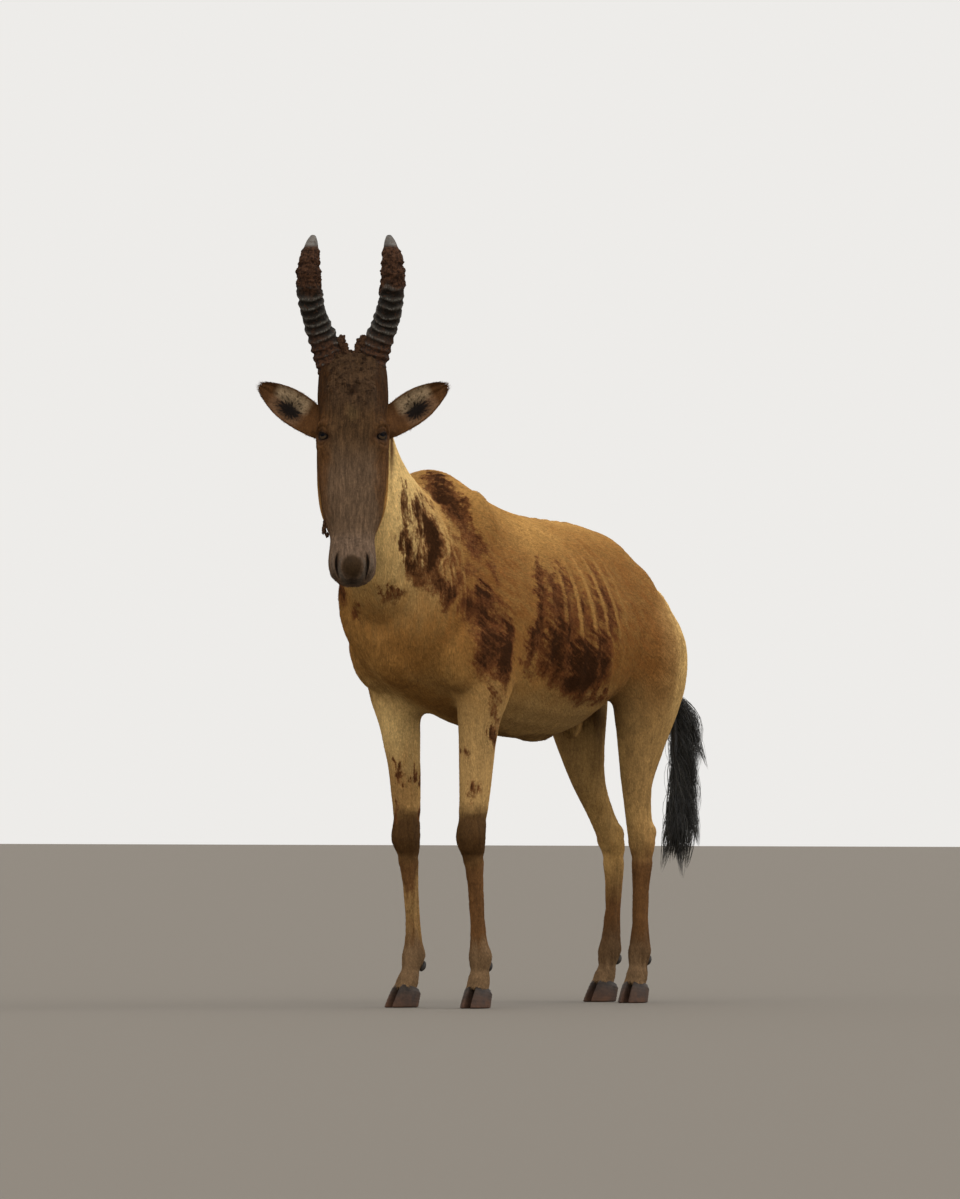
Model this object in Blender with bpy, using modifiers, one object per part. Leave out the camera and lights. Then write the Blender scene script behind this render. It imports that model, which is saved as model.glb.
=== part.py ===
"""A hartebeest bull, standing with its head turned to its left: a still, life-size model.

Metres, +Z up. The animal faces -Y, and its left is +X. The soles stand on the floor at z = 0.
Each named part of the body is an object of its own, which meets its neighbours face to face.
"""

import math
import random
from collections import namedtuple

import bmesh
import bpy
import numpy as np
from mathutils import Vector

# Driving sizes
GAP = 0.0003  # between faces that meet
BODY_GRAIN = 0.009  # edge of the fine surface that the body is blended on
HEAD_GRAIN = 0.003
BODY_TRIANGLES = 3900
HEAD_TRIANGLES = 2500
LEG_SPLIT_FORE = 0.395  # height of the knee
LEG_SPLIT_HIND = 0.385  # height of the hock
ELBOW_HEIGHT = 0.715
FLANK_HEIGHT = 0.74
CORONET_HEIGHT = 0.050  # top of the hoof at the toe
CORONET_SLOPE = 0.30  # how far the top of the hoof falls towards the heel
HEAD_TURN = math.radians(30)  # from straight ahead towards the animal's left
FACE_TILT = math.radians(20)  # of the face from upright, muzzle forward
FACE_ORIGIN = Vector((0.092, -0.949, 1.340))  # on the forehead, between the eyes
EYE_RADIUS = 0.0175
EYE_SPOT = (0.000, 0.0596, -0.0300)  # down the face, to the side, out of the face
EYE_LOOK = (0.81, 0.58)  # to the side and out of the face
EYE_FACETS = 14
NOSTRIL_DOWN = 0.318  # along the face
NOSTRIL_HALF_LENGTH = 0.024
NOSTRIL_HALF_WIDTH = 0.0060
PAD_DOWN = 0.324
MOUTH_OUT = -0.076  # the line of the mouth at the lips
MOUTH_RISE = 0.022  # how much further back it lies at the corner
MOUTH_LENGTH = 0.100
EAR_ROOT = (-0.043, 0.058, -0.100)  # down the face, to the side, out of the face
EAR_TIP = (-0.160, 0.214, -0.112)
HORN_RINGS = 12
HORN_MIDDLE = Vector((0.087, -0.949, 0))  # both horns are measured from here
CLAW_HEIGHT = 0.068
CLAW_HALF_LENGTH = 0.046
CLAW_HALF_WIDTH = 0.0168
CLAW_TAPER = 0.014  # how much of its half length it loses towards its top
CLAW_LEAN = 0.024  # how far its top stands behind its sole
TOE_REACH = 0.016  # how far a claw's middle stands ahead of the pastern's end
CLAW_SPACE = 0.0012  # from a claw to the middle of the foot
FOOT_TURN = math.radians(6)  # toes outwards
DEWCLAW_RADII = (0.0095, 0.0120, 0.0170)
DEWCLAW_LEAN = math.radians(-35)
DEWCLAW_SIDE = 0.014
DEWCLAW_DROP = 0.022  # below the fetlock's middle
TUFT_LOCKS = 36
TUFT_LENGTH = 0.150
TUFT_WIDTH = 0.0150
TUFT_START = 0.645  # along the tail's own length
TUFT_END = 0.985
GOLDEN_ANGLE = math.radians(137.5)

SIDES = (("left", 1.0), ("right", -1.0))

# The trunk, ring by ring from the chest to the rump
Trunk = namedtuple("Trunk", "y top widest bottom half_width")
TRUNK = (
    Trunk(-0.672, 1.030, 0.950, 0.860, 0.074),
    Trunk(-0.630, 1.120, 0.960, 0.800, 0.136),
    Trunk(-0.550, 1.222, 0.962, 0.745, 0.160),
    Trunk(-0.450, 1.268, 0.950, 0.710, 0.170),
    Trunk(-0.370, 1.247, 0.940, 0.688, 0.180),
    Trunk(-0.270, 1.209, 0.930, 0.664, 0.192),
    Trunk(-0.150, 1.181, 0.915, 0.645, 0.206),
    Trunk(-0.010, 1.164, 0.895, 0.634, 0.214),
    Trunk(0.120, 1.156, 0.890, 0.645, 0.206),
    Trunk(0.230, 1.150, 0.897, 0.690, 0.184),
    Trunk(0.320, 1.130, 0.903, 0.720, 0.171),
    Trunk(0.410, 1.072, 0.894, 0.735, 0.154),
    Trunk(0.490, 0.998, 0.880, 0.755, 0.122),
    Trunk(0.548, 0.926, 0.865, 0.790, 0.078),
)

# The neck, from inside the trunk up to the back of the skull
Neck = namedtuple("Neck", "x y z half_depth half_width")
NECK = (
    Neck(0.000, -0.420, 0.985, 0.235, 0.150),
    Neck(0.000, -0.530, 1.030, 0.205, 0.142),
    Neck(0.000, -0.625, 1.100, 0.165, 0.116),
    Neck(-0.002, -0.690, 1.185, 0.128, 0.092),
    Neck(-0.004, -0.735, 1.265, 0.104, 0.080),
    Neck(-0.004, -0.772, 1.335, 0.092, 0.078),
    Neck(0.004, -0.808, 1.385, 0.070, 0.066),
)

# The head, from the top of the column that carries the horns down to the lips.
# down is along the face, front and back are out of the plane of the face.
Skull = namedtuple("Skull", "down front widest back half_width")
SKULL = (
    Skull(-0.205, -0.022, -0.060, -0.102, 0.062),
    Skull(-0.185, -0.006, -0.060, -0.120, 0.076),
    Skull(-0.140, 0.007, -0.064, -0.132, 0.081),
    Skull(-0.090, 0.013, -0.068, -0.150, 0.082),
    Skull(-0.040, 0.012, -0.070, -0.176, 0.082),
    Skull(0.010, 0.007, -0.074, -0.194, 0.083),
    Skull(0.060, 0.000, -0.082, -0.198, 0.083),
    Skull(0.110, -0.005, -0.090, -0.184, 0.081),
    Skull(0.155, -0.009, -0.088, -0.162, 0.075),
    Skull(0.200, -0.012, -0.076, -0.138, 0.062),
    Skull(0.235, -0.012, -0.062, -0.120, 0.051),
    Skull(0.275, -0.007, -0.052, -0.110, 0.053),
    Skull(0.305, -0.007, -0.050, -0.106, 0.055),
    Skull(0.330, -0.020, -0.054, -0.101, 0.047),
    Skull(0.346, -0.040, -0.066, -0.093, 0.030),
)

# The legs, from inside the trunk down to the top of the hoof
Limb = namedtuple("Limb", "x y z half_width half_depth")
FORELEG = {
    "left": (
        Limb(0.118, -0.372, 0.930, 0.055, 0.130),
        Limb(0.122, -0.380, 0.820, 0.062, 0.112),
        Limb(0.118, -0.392, 0.730, 0.055, 0.084),
        Limb(0.110, -0.398, 0.660, 0.043, 0.062),
        Limb(0.106, -0.402, 0.560, 0.037, 0.050),
        Limb(0.105, -0.412, 0.470, 0.032, 0.044),
        Limb(0.105, -0.422, 0.415, 0.034, 0.039),
        Limb(0.105, -0.420, 0.375, 0.032, 0.035),
        Limb(0.105, -0.408, 0.325, 0.022, 0.025),
        Limb(0.105, -0.396, 0.245, 0.0175, 0.022),
        Limb(0.105, -0.388, 0.170, 0.019, 0.024),
        Limb(0.105, -0.380, 0.120, 0.026, 0.032),
        Limb(0.105, -0.384, 0.080, 0.024, 0.028),
        Limb(0.105, -0.396, 0.038, 0.034, 0.040),
    ),
    "right": (
        Limb(-0.118, -0.372, 0.930, 0.055, 0.130),
        Limb(-0.122, -0.380, 0.820, 0.062, 0.112),
        Limb(-0.118, -0.388, 0.730, 0.055, 0.084),
        Limb(-0.112, -0.384, 0.660, 0.043, 0.062),
        Limb(-0.107, -0.370, 0.560, 0.036, 0.047),
        Limb(-0.105, -0.364, 0.470, 0.031, 0.041),
        Limb(-0.105, -0.366, 0.415, 0.033, 0.037),
        Limb(-0.105, -0.362, 0.375, 0.031, 0.034),
        Limb(-0.105, -0.352, 0.325, 0.022, 0.025),
        Limb(-0.105, -0.340, 0.245, 0.0175, 0.022),
        Limb(-0.105, -0.332, 0.170, 0.019, 0.024),
        Limb(-0.105, -0.330, 0.120, 0.026, 0.032),
        Limb(-0.105, -0.350, 0.080, 0.024, 0.028),
        Limb(-0.105, -0.376, 0.038, 0.034, 0.040),
    ),
}
HINDLEG = {
    "left": (
        Limb(0.090, 0.340, 0.985, 0.062, 0.140),
        Limb(0.110, 0.385, 0.880, 0.074, 0.168),
        Limb(0.108, 0.418, 0.780, 0.070, 0.150),
        Limb(0.095, 0.432, 0.690, 0.056, 0.118),
        Limb(0.082, 0.432, 0.610, 0.044, 0.084),
        Limb(0.075, 0.428, 0.530, 0.033, 0.058),
        Limb(0.071, 0.440, 0.455, 0.027, 0.048),
        Limb(0.070, 0.458, 0.400, 0.028, 0.050),
        Limb(0.070, 0.460, 0.350, 0.025, 0.037),
        Limb(0.070, 0.456, 0.280, 0.020, 0.027),
        Limb(0.070, 0.452, 0.200, 0.0185, 0.025),
        Limb(0.070, 0.448, 0.125, 0.026, 0.032),
        Limb(0.070, 0.438, 0.080, 0.024, 0.028),
        Limb(0.070, 0.422, 0.038, 0.033, 0.040),
    ),
    "right": (
        Limb(-0.090, 0.340, 0.985, 0.062, 0.140),
        Limb(-0.110, 0.385, 0.880, 0.074, 0.168),
        Limb(-0.106, 0.414, 0.780, 0.070, 0.148),
        Limb(-0.092, 0.424, 0.690, 0.056, 0.116),
        Limb(-0.081, 0.428, 0.610, 0.044, 0.086),
        Limb(-0.075, 0.454, 0.530, 0.034, 0.066),
        Limb(-0.071, 0.506, 0.455, 0.028, 0.052),
        Limb(-0.070, 0.552, 0.400, 0.028, 0.050),
        Limb(-0.070, 0.568, 0.350, 0.025, 0.037),
        Limb(-0.070, 0.570, 0.280, 0.020, 0.027),
        Limb(-0.070, 0.562, 0.200, 0.0185, 0.025),
        Limb(-0.070, 0.550, 0.125, 0.026, 0.032),
        Limb(-0.070, 0.532, 0.080, 0.024, 0.028),
        Limb(-0.070, 0.512, 0.038, 0.033, 0.040),
    ),
}

# The tail's own flesh, from the rump down
Tail = namedtuple("Tail", "x y z radius")
TAIL = (
    Tail(0.000, 0.500, 1.000, 0.034),
    Tail(0.006, 0.560, 0.965, 0.030),
    Tail(0.022, 0.600, 0.900, 0.024),
    Tail(0.044, 0.628, 0.810, 0.019),
    Tail(0.057, 0.640, 0.700, 0.015),
    Tail(0.060, 0.646, 0.560, 0.011),
    Tail(0.060, 0.644, 0.440, 0.006),
)
TUFT_TOP = 0.735  # height at which the long black hair starts

# A horn's middle line: side and height are seen from in front, forward is along the gaze
Horn = namedtuple("Horn", "side forward z radius")
HORN = (
    Horn(0.036, -0.106, 1.468, 0.034),
    Horn(0.044, -0.112, 1.500, 0.0365),
    Horn(0.059, -0.114, 1.545, 0.034),
    Horn(0.079, -0.098, 1.595, 0.031),
    Horn(0.092, -0.062, 1.642, 0.029),
    Horn(0.097, -0.034, 1.690, 0.027),
    Horn(0.096, -0.036, 1.737, 0.023),
    Horn(0.091, -0.064, 1.776, 0.016),
    Horn(0.088, -0.086, 1.795, 0.008),
)

# An ear from its stalk to its tip, as shares of its length
Leaf = namedtuple("Leaf", "share half_width cup wall")
EAR = (
    Leaf(0.00, 0.0270, -0.018, 0.0170),
    Leaf(0.12, 0.0330, -0.014, 0.0190),
    Leaf(0.24, 0.0365, 0.002, 0.0170),
    Leaf(0.36, 0.0390, 0.016, 0.0100),
    Leaf(0.50, 0.0395, 0.022, 0.0060),
    Leaf(0.64, 0.0375, 0.021, 0.0050),
    Leaf(0.77, 0.0315, 0.016, 0.0045),
    Leaf(0.88, 0.0235, 0.010, 0.0040),
    Leaf(0.96, 0.0150, 0.004, 0.0030),
    Leaf(1.00, 0.0060, 0.001, 0.0020),
)

# Egg-shaped masses of muscle; those off the middle stand on both sides
Mass = namedtuple("Mass", "name x y z half_x half_y half_z lean")
MASSES = (
    Mass("blade", 0.112, -0.395, 1.010, 0.052, 0.110, 0.215, 14),
    Mass("triceps", 0.132, -0.335, 0.860, 0.050, 0.120, 0.110, -20),
    Mass("arm", 0.110, -0.470, 0.850, 0.062, 0.110, 0.110, 20),
    Mass("haunch", 0.096, 0.315, 0.925, 0.074, 0.160, 0.140, -25),
    Mass("seat", 0.075, 0.462, 0.880, 0.064, 0.104, 0.125, 0),
    Mass("brisket", 0.000, -0.560, 0.860, 0.085, 0.110, 0.110, -25),
    Mass("scrotum", 0.000, 0.235, 0.690, 0.030, 0.038, 0.060, 0),
    Mass("sheath", 0.000, 0.075, 0.644, 0.020, 0.085, 0.019, 5),
)

# Planes that part the body: a point on each and the way it faces
THROAT = Vector((0.0, -0.775, 1.300))
NAPE_AXIS = Vector((0.22, -0.86, 0.46)).normalized()
NECK_FOOT = Vector((0.0, -0.560, 1.050))
NECK_AXIS = Vector((0.0, -0.78, 0.62)).normalized()
WAIST = Vector((0.0, 0.02, 0.9))
BACKWARD = Vector((0, 1, 0))
UPWARD = Vector((0, 0, 1))
LEG_INSIDE = 0.036  # from the middle of the body to the cut inside a leg
LEG_OUTSIDE = 0.40
LEG_REACH = 0.22  # of the cut ahead of a leg's middle and behind it


def smooth_rows(rows, steps):
    """A Catmull-Rom curve through rows of numbers, with this many steps in each span."""
    table = np.array([tuple(row) for row in rows], float)
    padded = np.vstack([2 * table[0] - table[1], table, 2 * table[-1] - table[-2]])
    found = []
    for k in range(len(table) - 1):
        a, b, c, d = padded[k : k + 4]
        for t in np.arange(steps) / steps:
            bend = 2 * b + (c - a) * t + (2 * a - 5 * b + 4 * c - d) * t**2 + (3 * b - a - 3 * c + d) * t**3
            found.append(0.5 * bend)
    found.append(table[-1])
    return np.array(found)


def oval(centre, side, up, half_width, above, below, square=2.0, sides=28):
    """A ring of points: an oval with unlike halves, or a squarer form where square is over 2."""
    turn = np.linspace(0, 2 * math.pi, sides, endpoint=False)
    across, rise = np.cos(turn), np.sin(turn)
    across = half_width * np.sign(across) * np.abs(across) ** (2 / square)
    height = np.where(rise > 0, above, below)
    height = height * np.sign(rise) * np.abs(rise) ** (2 / square)
    return np.asarray(centre) + np.outer(across, side) + np.outer(height, up)


def loft(name, rings):
    """A closed skin through rings of points, with flat ends."""
    shape = bmesh.new()
    loops = [[shape.verts.new(point) for point in ring] for ring in rings]
    for low, high in zip(loops, loops[1:]):
        for k in range(len(low)):
            shape.faces.new((low[k - 1], low[k], high[k], high[k - 1]))
    shape.faces.new(loops[0])
    shape.faces.new(loops[-1])
    bmesh.ops.recalc_face_normals(shape, faces=shape.faces)
    return new_object(name, shape)


def new_object(name, shape):
    mesh = bpy.data.meshes.new(name)
    shape.to_mesh(mesh)
    shape.free()
    made = bpy.data.objects.new(name, mesh)
    workshop.objects.link(made)
    return made


def remove(*things):
    for thing in things:
        bpy.data.objects.remove(thing, do_unlink=True)


def applied(thing):
    """The object with its modifiers turned into plain mesh."""
    bpy.context.view_layer.update()
    seen = thing.evaluated_get(bpy.context.evaluated_depsgraph_get())
    mesh = bpy.data.meshes.new_from_object(seen)
    thing.modifiers.clear()
    thing.data = mesh
    return thing


def joined(name, things):
    """One object that holds the meshes of several, which may still cross."""
    shape = bmesh.new()
    for thing in things:
        shape.from_mesh(thing.data)
    remove(*things)
    return new_object(name, shape)


def blended(thing, grain, rounds):
    """One closed surface over crossing forms, with the creases between them eased."""
    remesh = thing.modifiers.new("Blend", "REMESH")
    remesh.mode = "VOXEL"
    remesh.voxel_size = grain
    ease = thing.modifiers.new("Ease", "SMOOTH")
    ease.factor = 0.5
    ease.iterations = rounds
    return applied(thing)


def reduced(thing, triangles):
    faces = sum(len(face.vertices) - 2 for face in thing.data.polygons)
    fewer = thing.modifiers.new("Reduce", "DECIMATE")
    fewer.ratio = min(1.0, triangles / faces)
    fewer.use_collapse_triangulate = True
    return applied(thing)


def copy_of(thing, name):
    made = bpy.data.objects.new(name, thing.data.copy())
    workshop.objects.link(made)
    return made


def cut(thing, cutter, operation):
    """The object less the cutter, or with it, as plain mesh."""
    boolean = thing.modifiers.new("Cut", "BOOLEAN")
    boolean.operation = operation
    boolean.solver = "EXACT"
    boolean.object = cutter
    return largest_piece(applied(thing))


def largest_piece(thing):
    """Keeps the one closed surface that has the most faces."""
    shape = bmesh.new()
    shape.from_mesh(thing.data)
    bmesh.ops.remove_doubles(shape, verts=shape.verts, dist=1e-6)
    left = set(shape.faces)
    pieces = []
    while left:
        todo, piece = [left.pop()], []
        while todo:
            face = todo.pop()
            piece.append(face)
            for edge in face.edges:
                for other in edge.link_faces:
                    if other in left:
                        left.remove(other)
                        todo.append(other)
        pieces.append(piece)
    pieces.sort(key=len)
    bmesh.ops.delete(shape, geom=[f for piece in pieces[:-1] for f in piece], context="FACES")
    shape.to_mesh(thing.data)
    shape.free()
    return thing


def block(low, high):
    """A box-shaped cutter."""
    shape = bmesh.new()
    bmesh.ops.create_cube(shape, size=1.0)
    low, high = Vector(low), Vector(high)
    for vert in shape.verts:
        vert.co = Vector((low[k] + (vert.co[k] + 0.5) * (high[k] - low[k]) for k in range(3)))
    return new_object("cutter", shape)


def split(thing, name, point, normal, grow=0.0):
    """A new object: the side of a plane that its normal points to, with a flat face there."""
    made = copy_of(thing, name)
    shape = bmesh.new()
    shape.from_mesh(made.data)
    normal = Vector(normal).normalized()
    found = bmesh.ops.bisect_plane(
        shape,
        geom=[*shape.verts, *shape.edges, *shape.faces],
        plane_co=Vector(point) - normal * grow,
        plane_no=normal,
        clear_inner=True,
    )
    rim = [item for item in found["geom_cut"] if isinstance(item, bmesh.types.BMEdge)]
    bmesh.ops.holes_fill(shape, edges=rim)
    bmesh.ops.triangulate(shape, faces=shape.faces)
    bmesh.ops.recalc_face_normals(shape, faces=shape.faces)
    shape.to_mesh(made.data)
    shape.free()
    return largest_piece(made)


def head_axes():
    """Unit vectors down the face, to the animal's left and out of the face."""
    gaze = Vector((math.sin(HEAD_TURN), -math.cos(HEAD_TURN), 0))
    down = gaze * math.sin(FACE_TILT) - Vector((0, 0, math.cos(FACE_TILT)))
    out = gaze * math.cos(FACE_TILT) + Vector((0, 0, math.sin(FACE_TILT)))
    left = Vector((0, 0, 1)).cross(gaze)
    return down, left, out, gaze


def on_face(down, side, out):
    """The point at these distances down the face, to its left and out of it."""
    along, left, front, _ = head_axes()
    return FACE_ORIGIN + along * down + left * side + front * out


def trunk_form():
    rings = []
    for y, top, widest, bottom, half_width in smooth_rows(TRUNK, 3):
        rings.append(oval((0, y, widest), (1, 0, 0), (0, 0, 1), half_width, top - widest, widest - bottom))
    return loft("trunk", rings)


def neck_form():
    rows = smooth_rows(NECK, 3)
    middle = rows[:, :3]
    rings = []
    for k, (x, y, z, half_depth, half_width) in enumerate(rows):
        axis = Vector(middle[min(k + 1, len(rows) - 1)] - middle[max(k - 1, 0)]).normalized()
        up = Vector((1, 0, 0)).cross(-axis).normalized()
        rings.append(oval((x, y, z), (1, 0, 0), up, half_width, half_depth, half_depth))
    return loft("neck", rings)


def limb_form(rows):
    rings = []
    for x, y, z, half_width, half_depth in smooth_rows(rows, 3):
        rings.append(oval((x, y, z), (1, 0, 0), (0, 1, 0), half_width, half_depth, half_depth, sides=20))
    return loft("limb", rings)


def ball(name, centre, radii, lean=0.0, facets=20):
    """An egg-shaped mass, leaned about the X axis."""
    shape = bmesh.new()
    bmesh.ops.create_uvsphere(shape, u_segments=facets, v_segments=facets * 2 // 3, radius=1.0)
    for vert in shape.verts:
        x, y, z = (vert.co[k] * radii[k] for k in range(3))
        turned = (x, y * math.cos(lean) - z * math.sin(lean), y * math.sin(lean) + z * math.cos(lean))
        vert.co = Vector(centre) + Vector(turned)
    return new_object(name, shape)


def muscle_forms():
    """Shoulder blades, the muscles of shoulder and haunch, the brisket, and the soft parts below."""
    made = []
    for mass in MASSES:
        radii = (mass.half_x, mass.half_y, mass.half_z)
        for side in (1.0, -1.0) if mass.x else (1.0,):
            made.append(ball(mass.name, (mass.x * side, mass.y, mass.z), radii, math.radians(mass.lean)))
    return made


def skull_form():
    along, left, front, _ = head_axes()
    rings = []
    for down, face, widest, back, half_width in smooth_rows(SKULL, 4):
        centre = FACE_ORIGIN + along * down + front * widest
        above, below = face - widest, widest - back
        rings.append(oval(centre, left, front, half_width, above, below, square=2.35, sides=36))
    return loft("skull", rings)


def face_places(points):
    """Each point's distance down the face, to its left and out of it."""
    along, left, front, _ = head_axes()
    away = points - np.array(FACE_ORIGIN)
    return away @ np.array(along), away @ np.array(left), away @ np.array(front)


def dome(distance, reach):
    """1 at the middle, falling smoothly to 0 at the reach."""
    near = np.clip(1 - (distance / reach) ** 2, 0, None)
    return near**2


def carve_face(thing):
    """Raises the brows and lids, and sinks the temples, nostrils and the line of the mouth."""
    count = len(thing.data.vertices)
    flat = np.empty(count * 3)
    thing.data.vertices.foreach_get("co", flat)
    points = flat.reshape(-1, 3)
    normals = np.empty(count * 3)
    thing.data.vertices.foreach_get("normal", normals)
    normals = normals.reshape(-1, 3)
    down, side, out = face_places(points)
    width = np.abs(side)
    push = np.zeros(count)

    # Brow and cheekbone round the eye, and the hollows below and above it
    eye_down, eye_side, eye_out = EYE_SPOT
    look_side, look_out = EYE_LOOK
    across = (out - eye_out) * look_side - (width - eye_side) * look_out
    ahead = (width - eye_side) * look_side + (out - eye_out) * look_out
    near = np.clip(ahead / 0.010, 0, 1)
    along = down - eye_down
    from_eye = np.hypot(along, across)
    push += 0.0045 * np.exp(-(((from_eye - 0.028) / 0.010) ** 2)) * near
    push -= 0.0045 * dome(np.hypot(down - 0.075, out + 0.045), 0.050) * (width > 0.03)
    push -= 0.0050 * dome(np.hypot(down + 0.062, out + 0.060), 0.045) * (width > 0.04)

    # Upper and lower lid, a raised rim about the opening
    opening = np.hypot(along / 0.78, across)
    push += 0.0024 * np.exp(-(((opening - 0.0150) / 0.0036) ** 2)) * near

    # Nostrils: curved slits to either side of the pad, with a raised wing outside
    bend = 0.0285 + 0.0080 * np.cos((down - NOSTRIL_DOWN + 0.004) / 0.021)
    slit = np.hypot((width - bend) / NOSTRIL_HALF_WIDTH, (down - NOSTRIL_DOWN) / NOSTRIL_HALF_LENGTH)
    push -= 0.0110 * dome(slit, 1.25) * (out > -0.055)
    wing = np.hypot((width - bend - 0.009) / 0.008, (down - NOSTRIL_DOWN + 0.002) / 0.028)
    push += 0.0036 * dome(wing, 1.3) * np.clip((out + 0.055) / 0.012, 0, 1)

    # The bare pad, and the lips with the line between them
    pad = np.hypot(width / 0.028, (down - PAD_DOWN) / 0.026)
    push += 0.0030 * dome(pad, 1.2) * (out > -0.060)
    mouth_out = MOUTH_OUT - MOUTH_RISE * np.clip((0.335 - down) / MOUTH_LENGTH, 0, 1)
    reach = np.clip((down - 0.225) / 0.020, 0, 1)
    line = (out - mouth_out) / 0.0042
    push -= 0.0050 * np.exp(-(line**2)) * reach
    push += 0.0026 * np.exp(-(((np.abs(out - mouth_out) - 0.0095) / 0.0055) ** 2)) * reach
    points = points + normals * push[:, None]
    thing.data.vertices.foreach_set("co", points.ravel())
    thing.data.update()
    return thing


def horn_form(name, side):
    """A ringed horn, whose rings stand closer and lower near the root."""
    _, left, _, gaze = head_axes()
    rows = smooth_rows(HORN, 5)
    middle = [HORN_MIDDLE + left * (row[0] * side) + gaze * row[1] + Vector((0, 0, row[2])) for row in rows]
    length = np.concatenate([[0], np.cumsum([(b - a).length for a, b in zip(middle, middle[1:])])])
    share = length / length[-1]
    rings = []
    for k, centre in enumerate(middle):
        axis = (middle[min(k + 1, len(rows) - 1)] - middle[max(k - 1, 0)]).normalized()
        across = axis.cross(gaze).normalized()
        forward = across.cross(axis).normalized()
        fade = float(np.clip((0.90 - share[k]) / 0.12, 0, 1) * np.clip(share[k] / 0.12, 0, 1))
        swell = 1 + 0.075 * fade * math.cos(2 * math.pi * HORN_RINGS * share[k] ** 0.92)
        radius = rows[k][3] * swell
        rings.append(oval(centre, across, forward, radius, radius, radius, sides=12))
    return loft(name, rings)


def ear_form(name, side):
    """A leaf-shaped cup that opens forwards, on a round stalk."""
    gaze = head_axes()[3]
    root = on_face(EAR_ROOT[0], EAR_ROOT[1] * side, EAR_ROOT[2])
    tip = on_face(EAR_TIP[0], EAR_TIP[1] * side, EAR_TIP[2])
    along = (tip - root).normalized()
    opening = (gaze - along * gaze.dot(along)).normalized()
    across = along.cross(opening) * side
    length = (tip - root).length
    spread = np.linspace(-1, 1, 9)
    round_off = 1 - spread**2
    rim = 0.0008
    rings = []
    for leaf in EAR:
        centre = root + along * (length * leaf.share)
        back = np.stack([spread * leaf.half_width, -(leaf.cup + leaf.wall) * round_off - rim], axis=1)
        lining = np.stack([spread * leaf.half_width * 0.97, -leaf.cup * round_off + rim], axis=1)[::-1]
        rings.append([centre + across * a + opening * b for a, b in np.vstack([back, lining])])
    return loft(name, rings)


def claw_form(name, place, side, turn):
    """One of the two claws of a foot, flat underneath, its toe forwards."""
    rings = []
    for share in (0.0, 0.12, 0.5, 1.0):
        half_length = CLAW_HALF_LENGTH - CLAW_TAPER * share
        half_width = CLAW_HALF_WIDTH - 0.0016 * share - 0.0018 * (share == 0.0)
        forward = TOE_REACH - CLAW_LEAN * share
        ring = []
        for angle in np.linspace(0, 2 * math.pi, 14, endpoint=False):
            ahead = math.sin(angle)
            toe = max(ahead, 0.0)
            across = math.cos(angle) * half_width * (1 - 0.40 * toe**2)
            x = side * (half_width + CLAW_SPACE) + across - side * 0.28 * toe**2 * half_width
            y = -(forward + ahead * half_length)
            ring.append((
                place[0] + x * math.cos(turn) - y * math.sin(turn),
                place[1] + x * math.sin(turn) + y * math.cos(turn),
                CLAW_HEIGHT * share,
            ))
        rings.append(ring)
    return loft(name, rings)


def lock(root, heading, length, width, curl):
    """A flat, tapered lock of hair that leaves its root along heading, then bends down and curls."""
    rings = []
    steps = 5
    place = Vector(root)
    broad = heading.cross(-UPWARD).normalized()
    for k in range(steps):
        share = k / (steps - 1)
        axis = (heading * (1 - share) - UPWARD * (0.15 + 0.95 * share) + curl * share**2).normalized()
        thin = broad.cross(axis).normalized()
        half = width * math.sin(math.pi * (0.22 + 0.78 * share) ** 1.15) + 0.0008
        thick = 0.34 * half + 0.0006
        flat = [(1, 0), (0, 1), (-1, 0), (0, -1)]
        rings.append([place + broad * (a * half) + thin * (b * thick) for a, b in flat])
        place = place + axis * (length / (steps - 1))
    return loft("lock", rings)


def tail_point(share):
    """A point on the tail's middle line and the radius there; 0 is the root and 1 the end."""
    rows = smooth_rows(TAIL, 8)
    spot = share * (len(rows) - 1)
    low = min(int(spot), len(rows) - 2)
    row = rows[low] + (rows[low + 1] - rows[low]) * (spot - low)
    return Vector(row[:3]), row[3]


def tail_form():
    rows = smooth_rows(TAIL, 4)
    rings = [oval(row[:3], (1, 0, 0), (0, 0.8, 0.6), row[3], row[3], row[3], sides=14) for row in rows[:6]]
    rings += [oval(row[:3], (1, 0, 0), (0, 1, 0), row[3], row[3], row[3], sides=14) for row in rows[6:]]
    return loft("tail", rings)


def tuft_form(tail):
    """Locks of black hair round the lower tail, longest on its rear side, joined to its flesh."""
    draw = random.Random(7)
    core = split(tail, "core", UPWARD * TUFT_TOP, -UPWARD, -GAP / 2)
    locks = bpy.data.collections.new("locks")
    bpy.context.scene.collection.children.link(locks)
    for k in range(TUFT_LOCKS):
        share = TUFT_START + (TUFT_END - TUFT_START) * k / (TUFT_LOCKS - 1)
        root, _ = tail_point(share)
        turn = k * GOLDEN_ANGLE + draw.uniform(-0.35, 0.35)
        out = Vector((math.cos(turn), math.sin(turn), 0))
        rearward = 0.5 + 0.5 * out.y
        upper = 1 - k / (TUFT_LOCKS - 1)
        blown = Vector((0.30, 0.30, 0)) * upper
        heading = (out * (0.22 + 0.38 * rearward) + Vector((0.04, 0.14, -0.50)) + blown).normalized()
        length = TUFT_LENGTH * (0.72 + 0.36 * rearward) + draw.uniform(-0.015, 0.020)
        width = TUFT_WIDTH * draw.uniform(0.80, 1.25)
        curl = Vector((draw.uniform(-0.35, 0.35), draw.uniform(-0.35, 0.25), 0))
        made = lock(root, heading, length, width, curl)
        workshop.objects.unlink(made)
        locks.objects.link(made)
    union = core.modifiers.new("Union", "BOOLEAN")
    union.operation = "UNION"
    union.solver = "EXACT"
    union.operand_type = "COLLECTION"
    union.collection = locks
    applied(core)
    remove(*locks.objects)
    bpy.data.collections.remove(locks)
    return largest_piece(core)


def shifted(thing, by):
    for vert in thing.data.vertices:
        vert.co += by
    return thing


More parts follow.
